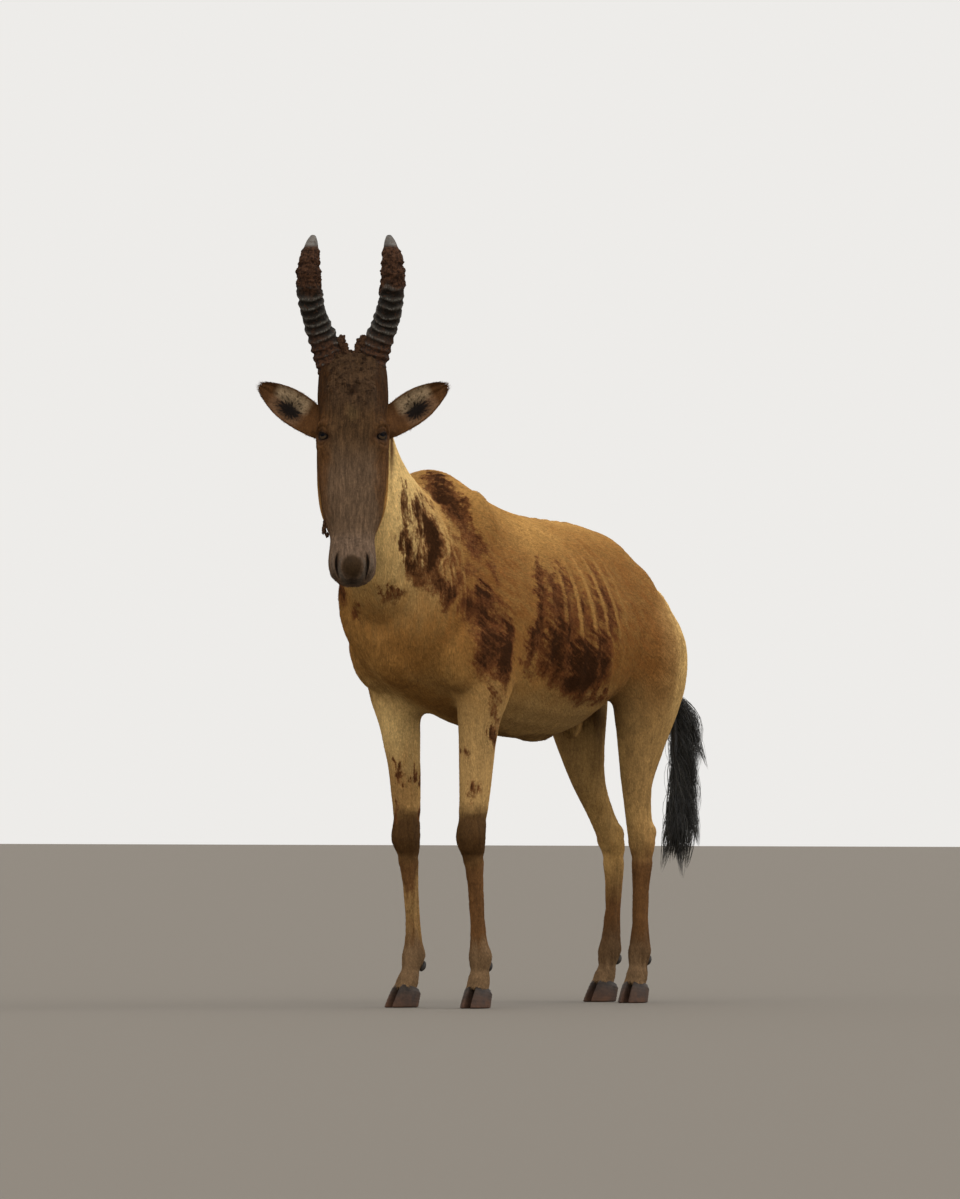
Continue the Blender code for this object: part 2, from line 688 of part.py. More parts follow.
def material(name, colour, roughness):
    made = bpy.data.materials.new(name)
    made.use_nodes = True
    shader = made.node_tree.nodes["Principled BSDF"]
    shader.inputs["Base Color"].default_value = (*colour, 1.0)
    shader.inputs["Roughness"].default_value = roughness
    shader.inputs["Metallic"].default_value = 0.0
    return made


def keep(thing, name, finish):
    """Names a finished part, gives it its material and sets it among the parts."""
    thing.name = name
    thing.data.name = name
    thing.data.materials.clear()
    thing.data.materials.append(finish)
    workshop.objects.unlink(thing)
    parts.objects.link(thing)
    thing.data.shade_smooth()
    thing.data.set_sharp_from_angle(angle=math.radians(40))
    return thing


def build_body():
    """The flesh of trunk, neck and legs as one blended surface."""
    forms = [trunk_form(), neck_form(), *muscle_forms()]
    for rows in (*FORELEG.values(), *HINDLEG.values()):
        forms.append(limb_form(rows))
    forms.append(skull_form())
    return reduced(blended(joined("body", forms), BODY_GRAIN, 9), BODY_TRIANGLES)


def build_head():
    """The head at a finer grain, with as much neck as its cut needs."""
    return blended(joined("head", [skull_form(), neck_form()]), HEAD_GRAIN, 10)


def build_legs(body):
    """Parts each leg from the trunk, at the knee or hock and at the hoof."""
    for pair, table, top, split_at in (
        ("foreleg", FORELEG, ELBOW_HEIGHT, LEG_SPLIT_FORE),
        ("hindleg", HINDLEG, FLANK_HEIGHT, LEG_SPLIT_HIND),
    ):
        for name, side in SIDES:
            rows = table[name]
            middle = (rows[2].y + rows[3].y) / 2
            x_near, x_far = sorted((LEG_INSIDE * side, LEG_OUTSIDE * side))
            low = (x_near, middle - LEG_REACH, -0.10)
            high = (x_far, middle + LEG_REACH, top)
            outer = block(low, high)
            inner = block([v + GAP for v in low], [v - GAP for v in high])
            leg = cut(copy_of(body, "leg"), inner, "INTERSECT")
            cut(body, outer, "DIFFERENCE")
            remove(outer, inner)
            upper = split(leg, "upper", UPWARD * split_at, UPWARD, -GAP / 2)
            lower = split(leg, "lower", UPWARD * split_at, -UPWARD, -GAP / 2)
            remove(leg)
            build_foot(lower, f"{pair}_{name}", rows)
            keep(upper, f"{pair}_{name}_upper", coat)
            keep(lower, f"{pair}_{name}_lower", coat)


def build_foot(lower, name, rows):
    """The two claws and two dewclaws of a foot, each fitted to the leg with a thin gap."""
    ankle, end = rows[-3], rows[-1]
    outward = 1.0 if end.x > 0 else -1.0
    slope = Vector((0, CORONET_SLOPE, 1)).normalized()
    top = Vector((end.x, end.y - 0.030, CORONET_HEIGHT))
    trimmed = split(lower, "trimmed", top, slope, -GAP / 2)
    lower.data = trimmed.data
    remove(trimmed)
    for which, side in (("outer", outward), ("inner", -outward)):
        claw = claw_form("claw", (end.x, end.y), side, FOOT_TURN * outward)
        hoof = split(claw, "hoof", top, -slope, -GAP / 2)
        remove(claw)
        keep(hoof, f"hoof_{name}_{which}", horn_finish)
        centre = (ankle.x + DEWCLAW_SIDE * side, ankle.y + ankle.half_depth - 0.010, ankle.z - DEWCLAW_DROP)
        dewclaw = ball("dewclaw", centre, DEWCLAW_RADII, DEWCLAW_LEAN, facets=8)
        cut(dewclaw, lower, "DIFFERENCE")
        shifted(dewclaw, BACKWARD * (GAP * 1.3))
        keep(dewclaw, f"dewclaw_{name}_{which}", horn_finish)


def build_trunk(body):
    """Parts neck, fore trunk and hind trunk. Gives the hind trunk, which the tail still has to fit."""
    keep(split(body, "neck", NECK_FOOT, NECK_AXIS, -GAP / 2), "neck", coat)
    trunk = split(body, "trunk", NECK_FOOT, -NECK_AXIS, -GAP / 2)
    keep(split(trunk, "fore", WAIST, -BACKWARD, -GAP / 2), "torso_fore", coat)
    rump = split(trunk, "hind", WAIST, BACKWARD, -GAP / 2)
    remove(trunk)
    keep(rump, "torso_hind", coat)
    return rump


def build_tail(rump):
    """The tail's bare upper length on the rump, and the tuft below."""
    tail = tail_form()
    tuft = tuft_form(tail)
    dock = split(tail, "dock", UPWARD * TUFT_TOP, UPWARD, -GAP / 2)
    remove(tail)
    cut(dock, rump, "DIFFERENCE")
    clear = 0.0004
    shifted(dock, BACKWARD * clear + UPWARD * (clear / 2))
    shifted(tuft, BACKWARD * clear)
    keep(dock, "tail_dock", coat)
    keep(tuft, "tail_tuft", black_hair)


def build_head_parts(skull):
    """Horns and ears stand on the skull, and the eyes sit in sockets in it."""
    left = head_axes()[1]
    for name, side in SIDES:
        horn = cut(horn_form("horn", side), skull, "DIFFERENCE")
        shifted(horn, UPWARD * GAP + left * (side * GAP * 0.5))
        keep(horn, f"horn_{name}", horn_finish)
        ear = cut(ear_form("ear", side), skull, "DIFFERENCE")
        shifted(ear, left * (side * GAP * 1.3))
        keep(ear, f"ear_{name}", coat)
    for name, side in SIDES:
        spot = on_face(EYE_SPOT[0], EYE_SPOT[1] * side, EYE_SPOT[2])
        socket = ball("socket", spot, [EYE_RADIUS + 2 * GAP] * 3, facets=EYE_FACETS)
        cut(skull, socket, "DIFFERENCE")
        remove(socket)
        keep(ball("eye", spot, [EYE_RADIUS] * 3, facets=EYE_FACETS), f"eye_{name}", eye_finish)
    keep(skull, "head", face_coat)


# The scene starts empty, with one collection for the parts and one for work
for thing in list(bpy.data.objects):
    bpy.data.objects.remove(thing, do_unlink=True)
parts = bpy.data.collections.new("hartebeest")
workshop = bpy.data.collections.new("workshop")
for shelf in (parts, workshop):
    bpy.context.scene.collection.children.link(shelf)

coat = material("coat", (0.42, 0.24, 0.09), 0.80)
face_coat = material("face_coat", (0.16, 0.10, 0.06), 0.80)
black_hair = material("black_hair", (0.012, 0.012, 0.014), 0.55)
horn_finish = material("horn", (0.07, 0.06, 0.055), 0.50)
eye_finish = material("eye", (0.03, 0.015, 0.008), 0.08)

# Head and neck part on a plane across the top of the neck
whole_body = build_body()
whole_head = build_head()
skull = split(whole_head, "skull", THROAT, NAPE_AXIS, -GAP / 2)
body = split(whole_body, "headless", THROAT, -NAPE_AXIS, -GAP / 2)
remove(whole_head, whole_body)
build_legs(body)
rump = build_trunk(body)
remove(body)
build_tail(rump)
build_head_parts(reduced(carve_face(skull), HEAD_TRIANGLES))

# The middle of the whole box goes over the origin, with the soles on the floor
corners = [vert.co for thing in parts.objects for vert in thing.data.vertices]
middle = [(max(c[k] for c in corners) + min(c[k] for c in corners)) / 2 for k in range(2)]
floor = min(c[2] for c in corners)
for thing in parts.objects:
    shifted(thing, Vector((-middle[0], -middle[1], -floor)))
bpy.data.collections.remove(workshop)
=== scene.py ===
"""The looks of a life-size hartebeest bull: skin, coat, eyes, horns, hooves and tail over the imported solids.

Metres, +Z up. The animal faces -Y, and its left is +X. Places in the tables are the animal's own;
SHIFT takes them to the frame, where the middle of the whole box stands over the origin.
"""

import math

import bmesh
import bpy
import numpy as np
from mathutils import Matrix, Vector, noise
from mathutils.bvhtree import BVHTree


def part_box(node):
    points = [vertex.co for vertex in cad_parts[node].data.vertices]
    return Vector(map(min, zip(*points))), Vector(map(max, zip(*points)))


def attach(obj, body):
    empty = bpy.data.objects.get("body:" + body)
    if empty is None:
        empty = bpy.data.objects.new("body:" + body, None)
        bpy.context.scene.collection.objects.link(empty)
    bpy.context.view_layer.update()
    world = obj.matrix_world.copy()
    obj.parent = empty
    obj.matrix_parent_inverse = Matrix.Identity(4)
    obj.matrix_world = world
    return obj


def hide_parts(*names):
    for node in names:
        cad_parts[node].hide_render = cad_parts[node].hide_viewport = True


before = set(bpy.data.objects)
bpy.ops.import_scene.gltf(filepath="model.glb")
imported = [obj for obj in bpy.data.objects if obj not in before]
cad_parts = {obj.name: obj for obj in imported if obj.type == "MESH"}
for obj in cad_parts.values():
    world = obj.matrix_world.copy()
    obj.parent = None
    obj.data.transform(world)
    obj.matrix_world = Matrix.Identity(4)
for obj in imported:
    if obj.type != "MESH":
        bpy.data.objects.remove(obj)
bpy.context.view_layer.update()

# The head's own axes, as in the solids
HEAD_TURN = math.radians(30)
FACE_TILT = math.radians(20)
FACE_ORIGIN = Vector((0.092, -0.949, 1.340))
EYE_RADIUS = 0.0172
EYE_SPOT = (0.000, 0.0596, -0.0300)  # down the face, to the side, out of the face
EYE_LOOK = (0.81, 0.58)  # to the side and out of the face
EYE_GAZE = (0.60, 0.80)  # where the pupil looks, likewise
UP = Vector((0, 0, 1))
GAZE = Vector((math.sin(HEAD_TURN), -math.cos(HEAD_TURN), 0))
FACE_DOWN = GAZE * math.sin(FACE_TILT) - UP * math.cos(FACE_TILT)
FACE_OUT = GAZE * math.cos(FACE_TILT) + UP * math.sin(FACE_TILT)
FACE_LEFT = UP.cross(GAZE)
SIDES = (("left", 1.0), ("right", -1.0))


def on_face(down, side, out):
    """The place at these distances down the face, to its left and out of it."""
    return FACE_ORIGIN + FACE_DOWN * down + FACE_LEFT * side + FACE_OUT * out


eye_low, eye_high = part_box("eye_left")
SHIFT = (eye_low + eye_high) / 2 - on_face(*EYE_SPOT)

# The photograph's frame, in its own pixels
PHOTO_SIZE = (960, 1199)
PIXELS_PER_METRE = 420
FOOT_PIXEL = (522, 1005)  # the animal's origin on the floor
HORIZON_PIXEL = 776
VIEW_TURN = math.radians(30)
VIEW_DISTANCE = 30.0
SENSOR = 36.0
VIEW_RIGHT = Vector((math.cos(VIEW_TURN), math.sin(VIEW_TURN), 0))
VIEW_BACK = Vector((math.sin(VIEW_TURN), -math.cos(VIEW_TURN), 0))
VIEW_FOOT = Vector((SHIFT.x, SHIFT.y, 0))

# Grain of the skin and depth of the coat
SKIN_GRAIN = 0.0082
JOIN_GROW = 0.0006
COAT_DEPTH = 0.0012

FLESH = ["head", "neck", "torso_fore", "torso_hind", "tail_dock"]
for pair in ("foreleg", "hindleg"):
    FLESH += [f"{pair}_{side}_{part}" for side, _ in SIDES for part in ("upper", "lower")]

# The plane where head and neck part
THROAT = (0.0, -0.775, 1.300)
NECK_AXIS = (0.22, -0.86, 0.46)


def photo_place(pixel):
    """The place in the frame that a pixel shows, on the upright plane through the animal's origin."""
    across = (pixel[0] - FOOT_PIXEL[0]) / PIXELS_PER_METRE
    height = (FOOT_PIXEL[1] - pixel[1]) / PIXELS_PER_METRE
    return VIEW_FOOT + VIEW_RIGHT * across + UP * height


def camera_place():
    height = (FOOT_PIXEL[1] - HORIZON_PIXEL) / PIXELS_PER_METRE
    level = photo_place((PHOTO_SIZE[0] / 2, FOOT_PIXEL[1]))
    return level + VIEW_BACK * VIEW_DISTANCE + UP * height


def make_camera():
    data = bpy.data.cameras.new("camera")
    data.sensor_fit = "HORIZONTAL"
    data.sensor_width = SENSOR
    data.lens = SENSOR * PIXELS_PER_METRE * VIEW_DISTANCE / PHOTO_SIZE[0]
    data.clip_end = 200
    camera = linked("camera", data)
    camera.location = camera_place()
    aim = photo_place((PHOTO_SIZE[0] / 2, PHOTO_SIZE[1] / 2))
    camera.rotation_euler = (aim - camera.location).to_track_quat("-Z", "Y").to_euler()
    bpy.context.scene.camera = camera


def smooth_rows(rows, steps):
    """A Catmull-Rom curve through rows of numbers, with this many steps in each span."""
    table = np.array(rows, float)
    padded = np.vstack([2 * table[0] - table[1], table, 2 * table[-1] - table[-2]])
    found = []
    for k in range(len(table) - 1):
        a, b, c, d = padded[k : k + 4]
        for t in np.arange(steps) / steps:
            bend = 2 * b + (c - a) * t + (2 * a - 5 * b + 4 * c - d) * t**2 + (3 * b - a - 3 * c + d) * t**3
            found.append(0.5 * bend)
    found.append(table[-1])
    return np.array(found)


def ramp(value, low, high):
    """0 at low and 1 at high, eased at both ends."""
    share = np.clip((value - low) / (high - low), 0, 1)
    return share * share * (3 - 2 * share)


def bell(value, middle, width):
    return np.exp(-(((value - middle) / width) ** 2))


def dome(distance, reach):
    """1 at the middle, falling smoothly to 0 at the reach."""
    return np.clip(1 - (distance / reach) ** 2, 0, None) ** 2


def read(items, name, count=3):
    flat = np.empty(len(items) * count, np.float64)
    items.foreach_get(name, flat)
    return flat.reshape(-1, count)


def unit(vectors):
    return vectors / np.maximum(np.linalg.norm(vectors, axis=-1, keepdims=True), 1e-9)


def linked(name, data):
    made = bpy.data.objects.new(name, data)
    bpy.context.scene.collection.objects.link(made)
    return made


def finished_mesh(name, mesh, finish):
    """The mesh as a smooth object with this material."""
    mesh.shade_smooth()
    if finish:
        mesh.materials.append(finish)
    return linked(name, mesh)


def from_shape(name, shape, finish=None):
    """The edited shape as an object. The shape is freed."""
    mesh = bpy.data.meshes.new(name)
    shape.to_mesh(mesh)
    shape.free()
    return finished_mesh(name, mesh, finish)


def add_layer(thing, name, values):
    layer = thing.data.attributes.new(name, "FLOAT", "POINT")
    layer.data.foreach_set("value", np.asarray(values, np.float32).ravel())


def new_piece(name, points, faces, finish=None):
    mesh = bpy.data.meshes.new(name)
    mesh.from_pydata(np.asarray(points, np.float32), [], faces)
    mesh.update()
    return finished_mesh(name, mesh, finish)


def applied(thing):
    """The object with its modifiers turned into plain mesh."""
    bpy.context.view_layer.update()
    mesh = bpy.data.meshes.new_from_object(thing.evaluated_get(bpy.context.evaluated_depsgraph_get()))
    thing.modifiers.clear()
    thing.data = mesh
    return thing


def ring_faces(rings, sides):
    """Faces of a skin through rings of points, with flat ends."""
    faces = []
    for low in range(rings - 1):
        for k in range(sides):
            a, b = low * sides + k, low * sides + (k + 1) % sides
            faces.append((a, b, b + sides, a + sides))
    faces.append(tuple(range(sides))[::-1])
    faces.append(tuple(range((rings - 1) * sides, rings * sides)))
    return faces


def on_animal(points):
    """Places in the frame as the animal's own."""
    return points - np.array(SHIFT)


def face_places(points):
    """Each place's distance down the face, to its left and out of it."""
    away = points - np.array(FACE_ORIGIN)
    return away @ np.array(FACE_DOWN), away @ np.array(FACE_LEFT), away @ np.array(FACE_OUT)


def in_head(points):
    """How far each place lies past the plane where head and neck part."""
    axis = np.array(NECK_AXIS)
    return (points - np.array(THROAT)) @ (axis / np.linalg.norm(axis))


def relaxed(points, edges, weight, rounds):
    """Points eased towards their neighbours and a little back, so that slim parts keep their size."""
    first, second = edges[:, 0], edges[:, 1]
    count = len(points)
    links = np.maximum(np.bincount(first, minlength=count) + np.bincount(second, minlength=count), 1)
    for step in (0.50, -0.53) * rounds:
        middle = np.empty_like(points)
        for axis in range(3):
            value = points[:, axis]
            total = np.bincount(first, value[second], count) + np.bincount(second, value[first], count)
            middle[:, axis] = total / links
        points = points + (middle - points) * (step * weight)[:, None]
    return points


def flesh_base():
    """One closed surface over the flesh solids, with the hooves and eyes to close its gaps."""
    shape = bmesh.new()
    hooves = [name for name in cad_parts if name.startswith("hoof")]
    for name in [*FLESH, *hooves, "eye_left", "eye_right"]:
        part = bmesh.new()
        part.from_mesh(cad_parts[name].data)
        bmesh.ops.remove_doubles(part, verts=part.verts, dist=1e-5)
        part.normal_update()
        for vert in part.verts:
            vert.co += vert.normal * JOIN_GROW
        spare = bpy.data.meshes.new("spare")
        part.to_mesh(spare)
        part.free()
        shape.from_mesh(spare)
        bpy.data.meshes.remove(spare)
    base = from_shape("skin", shape)
    remesh = base.modifiers.new("Blend", "REMESH")
    remesh.mode = "VOXEL"
    remesh.voxel_size = SKIN_GRAIN
    return applied(base)


def ease(skin, weights, rounds):
    """Relaxes the skin, by a function that gives each place's weight."""
    points = read(skin.data.vertices, "co")
    edges = read(skin.data.edges, "vertices", 2).astype(int)
    points = relaxed(points, edges, weights(on_animal(points)), rounds)
    skin.data.vertices.foreach_set("co", points.ravel())
    skin.data.update()


# The ear as the head's own axes show it: its root, its lean and the dark middle of its cup
EAR_ROOT = (0.058, 0.043, -0.100)
EAR_TIP = (0.214, 0.160, -0.112)
EAR_LEAN = math.atan2(EAR_TIP[1] - EAR_ROOT[1], EAR_TIP[0] - EAR_ROOT[0])
EAR_MIDDLE = (0.110, -0.003)
EAR_LEAF = (
    # share of the length, half width, depth of the cup, wall
    (0.00, 0.027, -0.018, 0.017),
    (0.12, 0.033, -0.014, 0.019),
    (0.24, 0.0365, 0.004, 0.015),
    (0.36, 0.039, 0.019, 0.007),
    (0.50, 0.0395, 0.0245, 0.0035),
    (0.64, 0.0375, 0.0235, 0.0025),
    (0.77, 0.0315, 0.018, 0.0025),
    (0.88, 0.0235, 0.012, 0.0025),
    (0.96, 0.0155, 0.005, 0.002),
    (1.00, 0.006, 0.001, 0.0015),
)


def ear_axes(side):
    """An ear's root, its line to the tip, the way its cup opens, and the way across it."""
    root, tip = (on_face(-rise, out_to * side, out) for out_to, rise, out in (EAR_ROOT, EAR_TIP))
    along = (tip - root).normalized()
    opening = (GAZE - along * GAZE.dot(along)).normalized()
    return root, tip - root, opening, along.cross(opening) * side


def ear_form(side):
    """A thin leaf-shaped cup that opens forwards, on a round stalk: points and faces."""
    root, reach, opening, across = ear_axes(side)
    length = reach.length
    along = reach.normalized()
    rows = smooth_rows(EAR_LEAF, 4)
    spread = np.linspace(-1, 1, 17)
    round_off = 1 - np.abs(spread) ** 2.4
    points = []
    for share, half_width, cup, wall in rows:
        centre = root + along * (length * share) + SHIFT
        fold = 0.0016 * np.cos(spread * 9 + share * 4) * ramp(share, 0.2, 0.5)
        back = [(s * half_width, -(cup + wall) * r - 0.0008) for s, r in zip(spread, round_off)]
        front = [
            (s * half_width * 0.97, -cup * r + 0.0008 + f)
            for s, r, f in zip(spread[::-1], round_off[::-1], fold * round_off)
        ]
        points += [centre + across * a + opening * b for a, b in back + front]
    return [tuple(p) for p in points], ring_faces(len(rows), 34)


def inner_ear(points, normals):
    """1 on the lining of an ear's cup, 0 on its rim and back."""
    inner = np.zeros(len(points))
    shares = [row[0] for row in EAR_LEAF]
    widths = [row[1] for row in EAR_LEAF]
    for _, side in SIDES:
        root, reach, opening, across = ear_axes(side)
        away = points - np.array(root)
        share = away @ np.array(reach) / reach.length_squared
        edge = np.abs(away @ np.array(across)) / np.interp(share, shares, widths)
        here = is_ear(points) & (face_places(points)[1] * side > 0)
        facing = ramp(normals @ np.array(opening), 0.05, 0.35)
        inner = np.maximum(inner, here * facing * ramp(edge, 0.95, 0.80))
    return inner


def with_ears(skin):
    for _, side in SIDES:
        points, faces = ear_form(side)
        ear = new_piece("ear", points, faces)
        shape = bmesh.new()
        shape.from_mesh(ear.data)
        bmesh.ops.triangulate(shape, faces=shape.faces)
        bmesh.ops.recalc_face_normals(shape, faces=shape.faces)
        shape.to_mesh(ear.data)
        shape.free()
        union = skin.modifiers.new("Union", "BOOLEAN")
        union.operation = "UNION"
        union.solver = "MANIFOLD"
        union.object = ear
        applied(skin)
        bpy.data.objects.remove(ear)


def eye_middle(side):
    return on_face(EYE_SPOT[0], EYE_SPOT[1] * side, EYE_SPOT[2])


def eye_places(points, side):
    """Down, across and ahead of an eye's middle, with ahead along its look."""
    down, left, out = face_places(points)
    width = left * side - EYE_SPOT[1]
    out = out - EYE_SPOT[2]
    look_side, look_out = EYE_LOOK
    return down - EYE_SPOT[0], out * look_side - width * look_out, width * look_side + out * look_out


def finer(skin, wanted):
    """Splits each face where the wanted function says so, once."""
    shape = bmesh.new()
    shape.from_mesh(skin.data)
    shape.faces.ensure_lookup_table()
    centres = np.array([face.calc_center_median() for face in shape.faces])
    chosen = wanted(on_animal(centres))
    edges = {edge for face, yes in zip(shape.faces, chosen) if yes for edge in face.edges}
    bmesh.ops.subdivide_edges(shape, edges=list(edges), cuts=1, use_grid_fill=True)
    shape.to_mesh(skin.data)
    shape.free()


def is_ear(points):
    down, left, out = face_places(points)
    return (np.abs(left) > 0.087) & (down < 0.02) & (down > -0.26) & (out > -0.20)


def head_zone(points):
    return (in_head(points) > -0.01) & ~is_ear(points)


def leg_zone(points):
    return points[:, 2] < 0.62


def crust(points):
    """How thick mud is caked on the crown."""
    down, left, out = face_places(points)
    middle = ramp(np.abs(left), 0.060, 0.036) * ramp(down, -0.045, -0.130)
    return middle * ramp(out, -0.11, -0.06) * (in_head(points) > 0)


def near_eyes(points, reach, ahead_of):
    near = np.zeros(len(points), bool)
    for _, side in SIDES:
        along, across, ahead = eye_places(points, side)
        near |= (np.hypot(along, across) < reach) & (ahead > ahead_of)
    return near


def detail_zone(points):
    """The muzzle, the crown and round the eyes."""
    muzzle = (face_places(points)[0] > 0.245) & (in_head(points) > 0.08)
    return muzzle | near_eyes(points, 0.040, -0.01) | (crust(points) > 0.05)


def eye_zone(points):
    return near_eyes(points, 0.025, 0.0)


CORONET_HEIGHT = 0.050
CORONET_SLOPE = 0.30
SKIN_FLOOR = 0.014  # the skin's least height inside a hoof
FEET = (
    # name, middle of the foot, fetlock's middle and half depth
    ("foreleg_left", (0.105, -0.396), (0.105, -0.380, 0.120), 0.032),
    ("foreleg_right", (-0.105, -0.376), (-0.105, -0.330, 0.120), 0.032),
    ("hindleg_left", (0.070, 0.422), (0.070, 0.448, 0.125), 0.032),
    ("hindleg_right", (-0.070, 0.512), (-0.070, 0.550, 0.125), 0.032),
)


def body_relief(points, normals):
    """How far ribs, muscles, bones and tendons stand out of the trunk, the neck and the legs."""
    x, y, z = points.T
    width = np.abs(x)
    push = np.zeros(len(points))

    # Ribs slope backwards as they go down
    on_side = ramp(np.abs(normals[:, 0]), 0.35, 0.75)
    zone = ramp(y, -0.30, -0.20) * ramp(y, 0.19, 0.08) * ramp(z, 0.72, 0.82) * ramp(z, 1.10, 1.00) * on_side
    push += 0.0026 * np.cos(2 * math.pi * rib_place(y, z)) * zone

    # The ridge of the shoulder blade, the groove behind the shoulder, and the point of the shoulder
    trunk = ramp(z, 0.70, 0.78)
    blade = np.hypot((y + 0.43 + 0.30 * (z - 1.02)) / 0.030, (z - 1.07) / 0.15)
    push += 0.0050 * dome(blade, 1.0) * trunk
    groove = y + 0.245 + 0.25 * (z - 0.90)
    push -= 0.0050 * bell(groove, 0, 0.022) * ramp(z, 0.72, 0.80) * ramp(z, 1.10, 0.98) * on_side
    push += 0.0050 * dome(np.hypot((y + 0.50) / 0.07, (z - 0.865) / 0.06), 1.0) * trunk

    # The hollow before the hip, the hip bone, the seat bone and the groove of the thigh
    push -= 0.0050 * dome(np.hypot(y - 0.165, z - 1.010), 0.085) * on_side
    push += 0.0060 * dome(np.hypot(np.hypot(width - 0.115, y - 0.262), z - 1.085), 0.060)
    push += 0.0060 * dome(np.hypot(np.hypot(width - 0.050, y - 0.535), z - 0.950), 0.045)
    thigh = bell(y - 0.455 + 0.12 * (z - 0.85), 0, 0.018)
    push -= 0.0040 * thigh * ramp(z, 0.68, 0.74) * ramp(z, 0.98, 0.90) * on_side

    # The spine between two shallow grooves
    top = ramp(normals[:, 2], 0.55, 0.85) * ramp(y, -0.40, -0.25) * ramp(y, 0.50, 0.40)
    push -= 0.0035 * bell(width, 0.040, 0.020) * top
    push += 0.0016 * bell(width, 0, 0.012) * (1 + 0.5 * np.cos(2 * math.pi * y / 0.050)) * top

    # The skin fold from belly to thigh, and folds where the neck meets the shoulder
    fold = np.hypot((y - 0.235) / 0.035, (z - 0.765 - 0.5 * (y - 0.235)) / 0.055)
    push += 0.0055 * dome(fold, 1.0) * on_side
    neck = y + 0.66 - 0.55 * (z - 1.08)
    push -= 0.0040 * bell(neck, 0, 0.014) * ramp(z, 0.94, 1.02) * ramp(z, 1.24, 1.14)
    push -= 0.0028 * bell(neck, 0.050, 0.012) * ramp(z, 0.98, 1.06) * ramp(z, 1.28, 1.18)
    breast = ramp(-normals[:, 1], 0.5, 0.8) * ramp(z, 0.84, 0.90) * ramp(z, 1.10, 1.00)
    push -= 0.0060 * bell(width, 0, 0.016) * breast
    return push


LEG_LINES = (
    # pair, side, then height and y of the middle line
    ("foreleg", 1.0, ((0.66, -0.398), (0.47, -0.412), (0.33, -0.408), (0.12, -0.380))),
    ("foreleg", -1.0, ((0.66, -0.384), (0.47, -0.364), (0.33, -0.352), (0.12, -0.330))),
    ("hindleg", 1.0, ((0.66, 0.432), (0.47, 0.438), (0.35, 0.460), (0.12, 0.447))),
    ("hindleg", -1.0, ((0.66, 0.426), (0.47, 0.496), (0.35, 0.568), (0.12, 0.549))),
)


def leg_relief(points, normals):
    """Tendons, knees, hocks and fetlocks."""
    x, y, z = points.T
    push = np.zeros(len(points))
    for pair, side, line in LEG_LINES:
        heights, middles = np.array(line)[::-1].T
        middle_y = np.interp(z, heights, middles)
        fore = pair == "foreleg"
        here = (np.sign(x) == side) & ((y < 0.1) == fore) & (z < 0.66)
        ahead = middle_y - y
        flank = ramp(np.abs(normals[:, 0]), 0.55, 0.85)
        cannon = ramp(z, 0.13, 0.17) * ramp(z, 0.335, 0.30)
        relief = -0.0034 * bell(ahead, -0.0035, 0.0040) * flank * cannon
        relief += 0.0010 * bell(ahead, 0.012, 0.008) * flank * cannon
        if fore:
            relief += 0.0030 * dome(np.hypot((z - 0.400) / 0.034, (ahead - 0.03) / 0.045), 1.0)
            relief -= 0.0022 * bell(z, 0.357, 0.010) + 0.0016 * bell(z, 0.446, 0.012)
            relief += 0.0030 * dome(np.hypot((z - 0.405) / 0.020, (ahead + 0.030) / 0.018), 1.0)
            relief -= 0.0030 * bell(ahead, 0.006, 0.006) * flank * ramp(z, 0.46, 0.50) * ramp(z, 0.66, 0.58)
        else:
            tendon = bell(ahead + 0.020 + 0.10 * (z - 0.42), 0, 0.010)
            relief -= 0.0075 * tendon * flank * ramp(z, 0.415, 0.45) * ramp(z, 0.60, 0.53)
            relief += 0.0040 * dome(np.hypot((z - 0.415) / 0.022, (ahead + 0.040) / 0.028), 1.0)
            relief += 0.0024 * dome(np.hypot((z - 0.385) / 0.020, (ahead - 0.012) / 0.020), 1.0) * flank
            relief -= 0.0020 * bell(z, 0.350, 0.012)
        relief += 0.0022 * bell(z, 0.125, 0.016) - 0.0016 * bell(z, 0.090, 0.010)
        push += relief * here
    return push


def in_hooves(points):
    """The skin drawn in below the coronets, so that it ends inside the hooves."""
    x, y, z = points.T.copy()
    for _, foot, _, _ in FEET:
        near = (np.sign(x) == np.sign(foot[0])) & (np.abs(y - foot[1]) < 0.09)
        ceiling = CORONET_HEIGHT - CORONET_SLOPE * (y - foot[1] + 0.030)
        above = near * ramp(z, ceiling + 0.030, ceiling + 0.002) * (z > ceiling - 0.030)
        x += (foot[0] - x) * 0.13 * above
        y += (foot[1] + 0.004 - y) * 0.13 * above
        inside = near * ramp(z, ceiling + 0.002, ceiling - 0.012)
        x += (foot[0] - x) * 0.45 * inside
        y += (foot[1] + 0.012 - y) * 0.60 * inside
        z[near] = np.maximum(z[near], SKIN_FLOOR)
    return np.stack([x, y, z], axis=1)


NOSTRIL_DOWN = 0.318
NOSTRIL_OUT = 0.0285
NOSTRIL_SWING = 0.0080
NOSTRIL_TURN = 0.314
NOSTRIL_LENGTH = 0.021


def nostril_bend(down):
    """How far from the middle a nostril lies: it curves round the pad."""
    return NOSTRIL_OUT + NOSTRIL_SWING * np.cos((down - NOSTRIL_TURN) / NOSTRIL_LENGTH)


